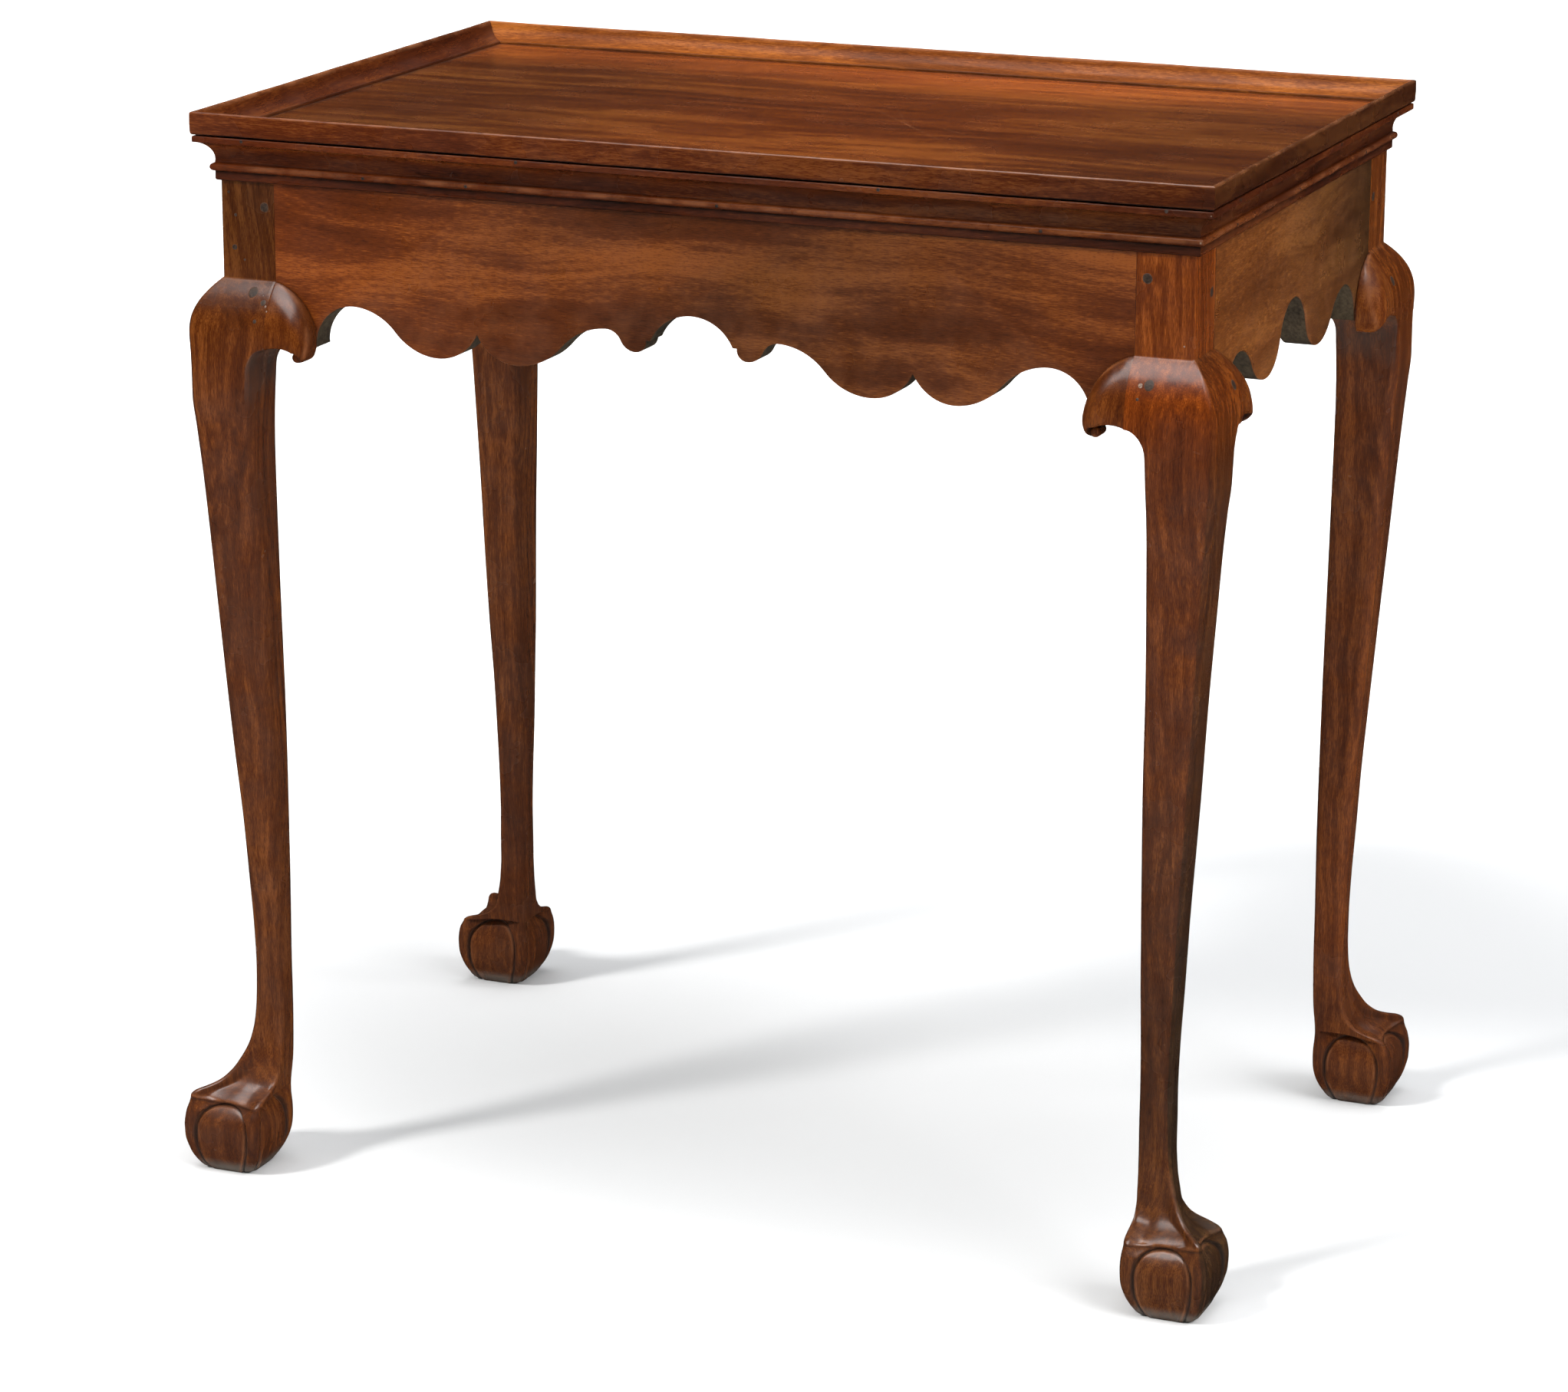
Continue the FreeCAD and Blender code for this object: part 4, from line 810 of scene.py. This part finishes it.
def leg_masks(corner, face, place, near_corner, levels, dirt, worn):
    """Grime and painted shade, wear and painted highlights, dust and a painted reflection, and tone and painted
    light over a leg's rows and columns, from the ball's own grime and wear.
    """
    is_outer = face < 2
    outermost = near_corner * np.where(face == 0, place > 0, place < 0) * is_outer
    # Wear and a painted highlight along the knee's outer corner and its top edge.
    arris_wear_and_highlight = outermost * smoothstep(574, 588, levels) * (levels <= KNEE_TOP)
    arris_wear_and_highlight = arris_wear_and_highlight + 0.5 * hump(levels, KNEE_TOP - 0.7, 0.8)
    # Painted highlights along the tendons and the lip, and painted shade just under the lip.
    painted_tendon_highlight = near_corner ** 2 * smoothstep(LIP, LIP + 3, levels) * smoothstep(105, 80, levels)
    lip, painted_shade_under_lip = hump(levels, LIP + 0.6, 0.8), hump(levels, LIP - 1.3, 0.7)
    under_knee = smoothstep(512, 540, levels) * (levels < UNDERSIDE + 1) * ~is_outer
    grime_and_painted_shade = 0.8 * dirt + 0.7 * painted_shade_under_lip * is_outer + 0.35 * under_knee
    wear_and_painted_highlight = worn + 0.9 * arris_wear_and_highlight + 0.3 * painted_tendon_highlight + 0.45 * lip * is_outer
    # Dust in the grooves, and a painted reflection of the pale floor on the lowest part of the foot and faintly
    # on the leg below the knee.
    dust_and_painted_reflection = (0.07 * smoothstep(560, 500, levels) + 0.8 * smoothstep(11, 3, levels) + 0.22 * dirt
            + 0.3 * under_knee)
    below, above = PAINTED_SIDE_LIGHT.get(corner, (0.0, 0.0))
    tone_and_painted_light = through(LEG_TONES_AND_PAINTED_LIGHT[corner], levels) + np.where(levels < KNEE_TOP, below, above) * (face == 1)
    return {"grime_and_painted_shade": np.clip(grime_and_painted_shade, 0, 1).ravel(), "wear_and_painted_highlight": np.clip(wear_and_painted_highlight, 0, 1).ravel(), "dust_and_painted_reflection": dust_and_painted_reflection.ravel(),
            "tone_and_painted_light": tone_and_painted_light.ravel()}


def make_leg(corner, seed):
    """A leg carved from one piece: post, knee, shaft and ball and claw foot."""
    turn, x_sign, y_sign = LEGS[corner]
    levels = leg_rows()
    low, high = leg_low(levels), leg_high(levels)
    centre, half = ((low + high) / 2)[:, None], (high - low) / 2
    outer, side = (np.minimum(through(stations, levels), half * 0.8)
                   for stations in (OUTER_ROUNDING, SIDE_ROUNDING))
    roundings = [outer, side, np.where(levels > UNDERSIDE, 0.5, side), side]
    face, place, out, near_corner = leg_columns(levels, half, roundings)
    levels, half, is_outer = levels[:, None], half[:, None], face < 2
    in_foot = smoothstep(LIP + 0.5, LIP - 0.3, levels)
    relief, dirt, worn = (part * in_foot for part in foot_relief(place, levels, half))
    between_tendons = smoothstep(0, TENDON_SLOPE, half - 1.5 - np.abs(place))
    palm = through(PALM_HOLLOW, levels) * (1 - in_foot) * between_tendons
    out = out - relief - palm * is_outer
    cosine, sine = np.array([1, 0, -1, 0])[face], np.array([0, 1, 0, -1])[face]
    across, along = out * cosine - place * sine, place * cosine + out * sine
    x_corner = smoothstep(0, -1, along / half) * smoothstep(-0.3, 1, across / half)
    y_corner = smoothstep(0, -1, across / half) * smoothstep(-0.3, 1, along / half)
    lag, droop = through(SIDE_LAG, levels), through(SIDE_DROOP, levels)
    middle_droop = through(MIDDLE_DROOP, levels) * np.maximum(1 - (place / FACE_HALF) ** 2, 0) * is_outer
    points = np.stack([centre + across - lag * x_corner, centre + along - lag * y_corner,
                       levels - droop * (x_corner + y_corner) - middle_droop], axis=-1)
    sway = 0.35 * ripple(points.reshape(-1, 3) * [1, 1, 0.4], 60, seed).reshape(place.shape)
    calm = np.where((levels > UNDERSIDE - 5) | (levels < 6), 0.0, 1.0)
    outwards = points[..., :2] - centre[..., None]
    outwards /= np.linalg.norm(outwards, axis=-1, keepdims=True)
    points[..., :2] -= outwards * (np.maximum(sway, -0.2) * calm)[..., None]
    points = turned(points.reshape(-1, 3), turn) + np.array([x_sign * HALF_LENGTH, y_sign * HALF_WIDTH, 0])
    masks = leg_masks(corner, face, place, near_corner, levels, dirt, worn)
    polish = wood(f"leg_polish_{corner}", ALONG_Z, (0.31 * seed, 0.17 * seed, 0.9), RED_BROWN, STRAIGHT, 0.22,
                  0.9)
    make_piece(f"leg_{corner}_carved", points, tube_faces(*place.shape), [polish], masks,
               f"leg_{corner}", sharp_above=50)


# ---- Knee brackets

SCROLL_MIDDLE = (19.4, BRACKET_BOTTOM + 5.2)
SCROLL_RADIUS = 3.4
JOINT_LAP = 1.6
BRACKET_SHADES = {"front": 0.40, "back": 0.30, "left": 0.20, "right": 0.20}


def surface_net(field, origin, step):
    """Points and quads of the surface where a sampled field changes sign; it is negative inside."""
    shape = np.array(field.shape)
    cells = tuple(shape - 1)
    total, hits = np.zeros(cells + (3,)), np.zeros(cells)
    crossings = []
    for axis in range(3):
        first = np.take(field, range(shape[axis] - 1), axis)
        second = np.take(field, range(1, shape[axis]), axis)
        crossing = (first < 0) != (second < 0)
        share = np.where(crossing, first / np.where(first == second, 1, first - second), 0)
        crossings.append((crossing, first < 0))
        others = [other for other in range(3) if other != axis]
        for corner in ((0, 0), (0, 1), (1, 0), (1, 1)):
            cut = [slice(None)] * 3
            for other, lift in zip(others, corner):
                cut[other] = slice(lift, lift + cells[other])
            seen = crossing[tuple(cut)]
            index = np.indices(cells).astype(float)
            index[axis] += share[tuple(cut)]
            for other, lift in zip(others, corner):
                index[other] += lift
            total += np.moveaxis(index * seen, 0, -1)
            hits += seen
    used = hits > 0
    numbers = np.full(cells, -1)
    numbers[used] = np.arange(used.sum())
    points = total[used] / hits[used][:, None] * step + origin
    return points, net_quads(crossings, numbers, shape)


def net_quads(crossings, numbers, shape):
    """A quad between the four cells round each edge of the grid that the surface crosses."""
    quads = []
    for axis, (crossing, starts_inside) in enumerate(crossings):
        one, two = [other for other in range(3) if other != axis]
        spots = np.argwhere(crossing)
        spots = spots[(spots[:, one] > 0) & (spots[:, two] > 0) & (spots[:, one] < shape[one] - 1)
                      & (spots[:, two] < shape[two] - 1)]
        flip = starts_inside[tuple(spots.T)] == (axis == 1)
        ring = []
        for back_one, back_two in ((1, 1), (0, 1), (0, 0), (1, 0)):
            cell = spots.copy()
            cell[:, one] -= back_one
            cell[:, two] -= back_two
            ring.append(numbers[tuple(cell.T)])
        ring = np.stack(ring, axis=1)
        ring[flip] = ring[flip][:, ::-1]
        quads += ring.tolist()
    return quads


def line_distance(x, z, line):
    """Distance from the points to an open line."""
    best = np.full(x.shape, 1e9)
    for (ax, az), (bx, bz) in zip(line[:-1], line[1:]):
        share = np.clip(((x - ax) * (bx - ax) + (z - az) * (bz - az))
                        / max((bx - ax) ** 2 + (bz - az) ** 2, 1e-9), 0, 1)
        best = np.minimum(best, np.hypot(x - ax - share * (bx - ax), z - az - share * (bz - az)))
    return best


def outline_distance(x, z, outline):
    """Distance from the points to a closed outline, negative inside it."""
    outline = np.asarray(outline)
    best = line_distance(x, z, np.concatenate([outline, outline[:1]]))
    inside = np.zeros(x.shape, bool)
    for (ax, az), (bx, bz) in zip(outline, np.roll(outline, -1, axis=0)):
        crosses = (az > z) != (bz > z)
        inside ^= crosses & (x < (bx - ax) * (z - az) / np.where(bz == az, 1e-9, bz - az) + ax)
    return np.where(inside, -best, best)


def bracket_outline():
    """The bracket seen from the front, x from the leg towards the apron's middle, and its free edge."""
    reach, top = BRACKET_REACH, KNEE_TOP
    cx, cz = SCROLL_MIDDLE
    free = arc((0.0, top), (0.73 * reach, top - 13.6), (reach, top - 34.0), 16)
    free += arc((reach, top - 34.0), (reach + 0.1, top - 38.0), (reach - 1.2, cz + 1.8), 5)
    free += arc((reach - 1.2, cz + 1.8), (reach - 4.2, cz - 2.2), (cx, cz - SCROLL_RADIUS), 6)
    points = [(-JOINT_LAP, UNDERSIDE), (-JOINT_LAP, top)] + free
    points += arc((cx, cz - SCROLL_RADIUS), (cx - SCROLL_RADIUS, cz), (cx - 0.6, cz + SCROLL_RADIUS - 0.1), 12)
    points += arc((cx - 0.6, cz + 3.9), (0.35 * reach, UNDERSIDE + 1.6), (0.0, UNDERSIDE), 8)
    return points + [(0.0, UNDERSIDE)], free + [(cx, cz - SCROLL_RADIUS)]


def round_scroll(x, z):
    """Distance from the middle of the scroll, and the direction from it in degrees."""
    across, up = x - SCROLL_MIDDLE[0], z - SCROLL_MIDDLE[1]
    return np.hypot(across, up), np.degrees(np.arctan2(up, across))


def bracket_height(x, z, free):
    """How far the bracket stands out of the apron."""
    # At the free edge the dome rolls down to the apron, but stays proud where the scroll is.
    proud = smoothstep(KNEE_TOP - 20, BRACKET_BOTTOM + 6, z) * 0.44 + 0.08
    roll = 11.0 - 4.0 * smoothstep(KNEE_TOP - 30, BRACKET_BOTTOM + 6, z)
    dome = np.sqrt(1 - (1 - np.clip(line_distance(x, z, free) / roll, 0, 1)) ** 2)
    near_leg = smoothstep(9, 0, x)
    dome = dome * (1 - near_leg) + near_leg
    height = knee_swell(KNEE_TOP - z) * (proud + (1 - proud) * dome)
    # The scroll is a button that the strand curls round, parted from it by an incised line.
    radius, angle = round_scroll(x, z)
    button = smoothstep(SCROLL_RADIUS + 0.5, SCROLL_RADIUS - 0.3, radius)
    height = height * (1 - button) + button * (KNEE_PROJECTION * 0.66 - 0.05 * radius ** 2)
    line = hump(radius, SCROLL_RADIUS - 0.1, 0.5) * smoothstep(-75, -20, angle) * (angle <= 100)
    # Past the joint it runs on inside the leg, just under the knee's face.
    return height - 1.6 * line - 0.25 * smoothstep(0.2, -0.4, x)


def bracket_shape():
    """A knee bracket as points, quads and masks: x from the leg, y outward from the apron, z up."""
    step = 0.6 if FINE else 1.1
    origin = np.array([-2.4, -1.0, BRACKET_BOTTOM - 1.5])
    span = np.array([BRACKET_REACH + 4.4, KNEE_PROJECTION + 3, KNEE_TOP - BRACKET_BOTTOM + 4])
    x, y, z = (start + step * np.arange(count) for start, count in zip(origin, (span / step).astype(int)))
    across, up = np.meshgrid(x, z, indexing="ij")
    outline, free = bracket_outline()
    edge = outline_distance(across, up, outline)[:, None, :]
    y = y[None, :, None]
    above = y - bracket_height(across, up, free)[:, None, :]
    # A little comes off where the outline meets the top, which softens that edge.
    softening = np.where(edge < 3, 0.35 * hump(np.abs(edge) + np.abs(above), 0, 1.2), 0)
    points, faces = surface_net(np.maximum(np.maximum(edge, above), -y) + softening, origin, step)
    x, y, z = points.T
    radius, angle = round_scroll(x, z)
    crease = hump(radius, SCROLL_RADIUS, 0.8) * ((angle > -70) & (angle < 100))
    rim = hump(line_distance(x, z, free), 1.2, 0.8) * (y > 1.5)
    return points, faces, {"grime_and_painted_shade": np.maximum(0.9 * crease, 0.7 * hump(y, 0, 1.0)), "wear_and_painted_highlight": 0.6 * rim}


def make_brackets():
    """The eight knee brackets, which are one shape and its mirror image."""
    shape, faces, masks = bracket_shape()
    mirrored = [face[::-1] for face in faces]
    for index, side in enumerate(SIDES):
        masks["tone_and_painted_light"] = np.full(len(shape), BRACKET_SHADES[side])
        tones = RED_BROWN if side in LONG_SIDES else DEEP_BROWN
        for sign, end in SIDE_ENDS[side].items():
            points = shape.copy()
            points[:, 0] = sign * (HALF_SPAN[side] - POST - points[:, 0])
            polish = wood(f"bracket_polish_{side}_{end}", ALONG_Z, (0.37 * index, 0.21 * sign, 1.7), tones,
                          STRAIGHT, 0.24, 0.8)
            make_piece(f"knee_bracket_{side}_{end}_carved", from_side(points, side),
                       faces if sign < 0 else mirrored, [polish], masks, f"knee_bracket_{side}_{end}")


# ---- Pegs, nails and marks

PEG_RADIUS, PEG_SETBACK, NAIL_RADIUS = 3.2, 7.0, 1.15
BEAD_FACE = 5.1
UPPER_PEGS, LOWER_PEGS, SIDE_PEG_SHIFT = FRAME_TOP - 35.5, KNEE_TOP - 8.5, 11.0
# How far some of the lower pegs are outward of the upper ones, and higher than the rest.
LOWER_PEG_SHIFTS = {("front", 1): (5.5, 1.5), ("front", -1): (6.5, -6.0)}
# Nails along a side, as shares of its length from the middle.
LONG_NAILS = {"bead": (-0.352, -0.030, 0.231, 0.341), "fascia": (-0.476, -0.197, 0.172, 0.466)}
SHORT_NAILS = {"bead": (-0.330, 0.030, 0.350), "fascia": (-0.440, -0.120, 0.400)}
# Old marks on the front legs: from the middle of the front to the right, level and radius.
DARK_MARKS = [(-314.9, 648.6, 0.9), (-310.4, 634.4, 1.1), (-304.7, 606.3, 0.8), (-311.6, 613.8, 1.9),
              (-286.6, 582.1, 1.9), (-290.1, 570.9, 1.3), (290.7, 571.8, 1.0)]
PALE_MARKS = [(-284.4, 580.2, 0.7), (-282.9, 577.4, 0.5), (291.3, 579.4, 1.4), (313.5, 602.0, 0.6),
              (-288.0, 586.0, 0.4)]
# Chips at the right end of the front: on the rim, the moulding's bead and its fascia.
CHIPS = [(HALF_LENGTH + OVERHANG - 1.7, TABLE_TOP - 1.7, 0.8),
         (HALF_LENGTH + OVERHANG - 4.6, TABLE_TOP - 1.6, 0.45),
         (HALF_LENGTH + 3.4, BEAD_LEVEL + 0.2, 0.7),
         (HALF_LENGTH + COVE_REACH - 1.3, COVE_TOP - 2.4, 0.45)]


# How far parts of a side stand out of the face of the frame, by x and level.

def post_face(x, z):
    return np.zeros_like(x)


def knee_face(x, z):
    return knee_swell(KNEE_TOP - z)


def bead_face(x, z):
    return COVE_FOOT + np.sqrt(np.maximum(BEAD ** 2 - (z - BEAD_LEVEL) ** 2, 0.2))


def fascia_face(x, z):
    return np.full_like(x, COVE_REACH)


def front_face(x, z):
    """The rim, fascia or bead above the frame's top edge, and the post or the knee below it."""
    moulding = np.where(z > FIELD, OVERHANG - 0.25, np.where(z > COVE_TOP - COVE_FASCIA, COVE_REACH, BEAD_FACE))
    return np.where(z > COVE_BOTTOM, moulding, np.where(z > KNEE_TOP, 0.0, knee_face(x, z)))


def disc(x, z, radius, face, seed, proud=0.02, depth=1.0):
    """An uneven disc set in a face of the table: its rings of points, and the wear of each."""
    angles = np.linspace(0, 2 * math.pi, 20, endpoint=False)
    uneven = 1 + 0.07 * ripple(np.column_stack([np.cos(angles), np.sin(angles)]), 1.6, seed)
    rings, wear_and_painted_highlight = [], []
    for share, lift, worn in ((0.0, 0.12, 0.0), (0.55, 0.10, 0.0), (0.84, 0.04, 0.1), (1.0, -0.06, 1.0),
                              (1.0, -depth, 1.0)):
        reach = radius * uneven * share
        ring_x, ring_z = x + reach * np.cos(angles), z + reach * np.sin(angles)
        rings.append(np.column_stack([ring_x, face(ring_x, ring_z) + proud + lift, ring_z]))
        wear_and_painted_highlight.append(np.full(len(angles), worn))
    return rings, wear_and_painted_highlight


def make_discs(name, side, discs, material, node=None):
    """One piece made of several discs in a side."""
    points, faces, wear_and_painted_highlight = [], [], []
    for rings, ring_wear in discs:
        rows, columns = len(rings), len(rings[0])
        quads = [face[::-1] for face in grid_faces(rows, columns, closed=True)]
        quads.append(tuple(range((rows - 1) * columns, rows * columns)))
        start = len(points) * columns
        faces += [tuple(start + index for index in face) for face in quads]
        points += rings
        wear_and_painted_highlight += ring_wear
    make_piece(name, from_side(np.concatenate(points), side), faces, [material],
               {"wear_and_painted_highlight": np.concatenate(wear_and_painted_highlight)}, node)


def make_pegs(side, material):
    """Two pegs at each end of a side: one in the post and one in the knee."""
    lower = 0 if side in LONG_SIDES else SIDE_PEG_SHIFT
    discs = []
    for sign in (-1, 1):
        across = sign * (HALF_SPAN[side] - POST + PEG_SETBACK)
        seed = 7 * SIDES.index(side) + sign
        out, up = LOWER_PEG_SHIFTS.get((side, sign), (0, 0))
        discs.append(disc(across, UPPER_PEGS - lower, PEG_RADIUS, post_face, 70 + seed, 0.05, 2.0))
        discs.append(disc(across + sign * out, LOWER_PEGS - lower + up, PEG_RADIUS, knee_face, 90 + seed,
                          0.05, 2.0))
    make_discs(f"pegs_{side}_ends", side, discs, material, f"pegs_{side}")


def make_nails(side, material):
    """A row of nail heads in the moulding's bead and a row in its fascia."""
    shares, length = LONG_NAILS if side in LONG_SIDES else SHORT_NAILS, 2 * HALF_SPAN[side]
    discs = [disc(length * share, BEAD_LEVEL, NAIL_RADIUS, bead_face, index)
             for index, share in enumerate(shares["bead"])]
    discs += [disc(length * share, COVE_TOP - 1.5, NAIL_RADIUS, fascia_face, 20 + index)
              for index, share in enumerate(shares["fascia"])]
    make_discs(f"moulding_nails_{side}_heads", side, discs, material, f"moulding_nails_{side}")


def make_marks(name, marks, material):
    """Filled holes and chips, as discs level with the wood of the front."""
    discs = [disc(-x, z, radius, front_face, 50 + index) for index, (x, z, radius) in enumerate(marks)]
    make_discs(name, "front", discs, material)


# ---- The whole table

def make_blocks_pine(side):
    """Gives the glue blocks of a side their material."""
    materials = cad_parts[f"glue_blocks_{side}"].data.materials
    materials.clear()
    materials.append(raw_wood(f"block_pine_{side}", GRAIN[side], (0.4, 0.2, 0.3), (0.42, 0.28, 0.15),
                              (0.20, 0.12, 0.06)))


make_board()
for side_name in SIDES:
    make_mouldings(side_name)
    make_apron(side_name)
for number, corner_name in enumerate(LEGS):
    make_leg(corner_name, number + 1)
make_brackets()
end_grain = speckled("peg_end_grain", (0.012, 0.008, 0.006), (0.055, 0.033, 0.022), (0.4, 0.6), 700.0, 0.7,
                     (0.34, 0.66), worn=0.22, gloss=0.22)
rust = speckled("nail_iron", (0.010, 0.008, 0.007), (0.045, 0.028, 0.020), (0.5, 0.8))
for side_name in SIDES:
    make_pegs(side_name, end_grain)
    make_nails(side_name, rust)
filler = speckled("mark_filler", (0.08, 0.042, 0.024), (0.26, 0.17, 0.115), (0.45, 0.7), relief=(0.4, 0.0002))
make_marks("leg_marks_dark", DARK_MARKS, end_grain)
make_marks("leg_marks_pale", PALE_MARKS, filler)
make_marks("rim_chips", CHIPS, filler)
for side_name in SIDES:
    make_blocks_pine(side_name)


# ---- Floor, light and camera

scene = bpy.context.scene
FLOOR_REACH = 40.0
# Painted shadow: the paper is a little less pale under and behind the table, where the photograph's shadows are
# deepest, and paler further out, painted light that lightens the table's cast shadows there.
SHADOWS_MIDDLE, SHADOWS_FADE = (0.0, 0.30, 0.0), (0.42, 0.76)
SHADED_PAPER, PAPER = (0.665, 0.678, 0.692), (0.93, 0.94, 0.95)
# The sky's brightness by height: 0 is the horizon and all below it, and 1 is straight up.
SKY = [(0.0, 0.01), (0.50, 0.04), (0.70, 0.5), (0.86, 0.8), (0.945, 1.2), (0.978, 5.5)]
CAMERA_PLACE, CAMERA_LENS, SENSOR_WIDTH = (1.1870, -2.9524, 1.2063), 115.43, 36.0
CAMERA_AZIMUTH, CAMERA_PITCH, CAMERA_ROLL = 22.245, 15.857, 0.214


def make_floor():
    """A sheet of pale paper that runs far past the picture, with painted shadow near the table."""
    recipe = new_recipe("pale_floor")
    place = recipe.place(offset=tuple(-value for value in SHADOWS_MIDDLE))
    share = recipe.spread(recipe.vector("LENGTH", place, output="Value"), *SHADOWS_FADE)
    paper = recipe.finish(recipe.ramp(share, [(0.0, SHADED_PAPER), (1.0, PAPER)]), 0.9, gloss=0.0)
    mesh = bpy.data.meshes.new("floor")
    corners = [(x * FLOOR_REACH, y * FLOOR_REACH, 0) for x, y in ((-1, -1), (1, -1), (1, 1), (-1, 1))]
    mesh.from_pydata(corners, [], [(0, 1, 2, 3)])
    mesh.materials.append(paper)
    floor = bpy.data.objects.new("floor", mesh)
    scene.collection.objects.link(floor)
    # The polish doesn't mirror the paper, which the photograph's darkest faces show no trace of.
    floor.visible_glossy = False


def make_sky():
    """A studio ceiling that is brightest overhead."""
    scene.world = bpy.data.worlds.new("studio")
    recipe = Recipe(scene.world, "World")
    height = recipe.node("SeparateXYZ", {"Vector": recipe.node("TexCoord", {}, "Generated")}, "Z")
    colour = recipe.ramp(height, [(level, (brightness,) * 3) for level, brightness in SKY])
    recipe.feed(recipe.surface, recipe.node("Background", {"Color": colour}))


def aim_light(name, kind, azimuth, elevation, distance=0.0):
    """A light that shines at the table; azimuth 0 shines from the front and 90 from the right."""
    light = bpy.data.lights.new(name, kind)
    lamp = bpy.data.objects.new(name, light)
    turn, rise = math.radians(azimuth), math.radians(elevation)
    source = Vector((math.sin(turn) * math.cos(rise), -math.cos(turn) * math.cos(rise), math.sin(rise)))
    lamp.location = source * distance
    lamp.rotation_euler = source.to_track_quat("Z", "Y").to_euler()
    scene.collection.objects.link(lamp)
    return light, lamp


def soft_sun(name, azimuth, elevation, strength, size, colour):
    """A distant soft light that the polish doesn't mirror."""
    light, lamp = aim_light(name, "SUN", azimuth, elevation)
    light.energy, light.angle, light.color = strength, math.radians(size), colour
    lamp.visible_glossy = False


def sheen_box(name, azimuth, elevation, distance, size, radiance):
    """A softbox that only the polish mirrors: the suns and the sky light the wood itself."""
    light, lamp = aim_light(name, "AREA", azimuth, elevation, distance)
    light.shape, light.size, light.energy = "SQUARE", size, radiance * math.pi * size * size
    lamp.visible_diffuse = False
    lamp.visible_camera = False


def make_camera():
    """The photograph's camera, worked out from the corners of the tray, the frame and the feet."""
    lens = bpy.data.cameras.new("camera")
    lens.sensor_width, lens.lens = SENSOR_WIDTH, CAMERA_LENS
    camera = bpy.data.objects.new("camera", lens)
    azimuth, pitch, roll = (math.radians(angle) for angle in (CAMERA_AZIMUTH, CAMERA_PITCH, CAMERA_ROLL))
    ahead = Vector((-math.sin(azimuth) * math.cos(pitch), math.cos(azimuth) * math.cos(pitch),
                    -math.sin(pitch)))
    level_right = Vector((math.cos(azimuth), math.sin(azimuth), 0))
    level_up = level_right.cross(ahead)
    right = level_right * math.cos(roll) + level_up * math.sin(roll)
    up = level_up * math.cos(roll) - level_right * math.sin(roll)
    turn = Matrix((right, up, -ahead)).transposed().to_4x4()
    camera.matrix_world = Matrix.Translation(CAMERA_PLACE) @ turn
    scene.collection.objects.link(camera)
    scene.camera = camera


make_floor()
scene.view_settings.view_transform = "Standard"
make_sky()
sheen_box("sheen", azimuth=-22, elevation=79, distance=2.8, size=2.0, radiance=9.0)
soft_sun("key", azimuth=-37, elevation=41, strength=2.5, size=10, colour=(1.0, 0.98, 0.95))
soft_sun("fill", azimuth=78, elevation=38, strength=2.7, size=50, colour=(1.0, 0.99, 0.98))
make_camera()
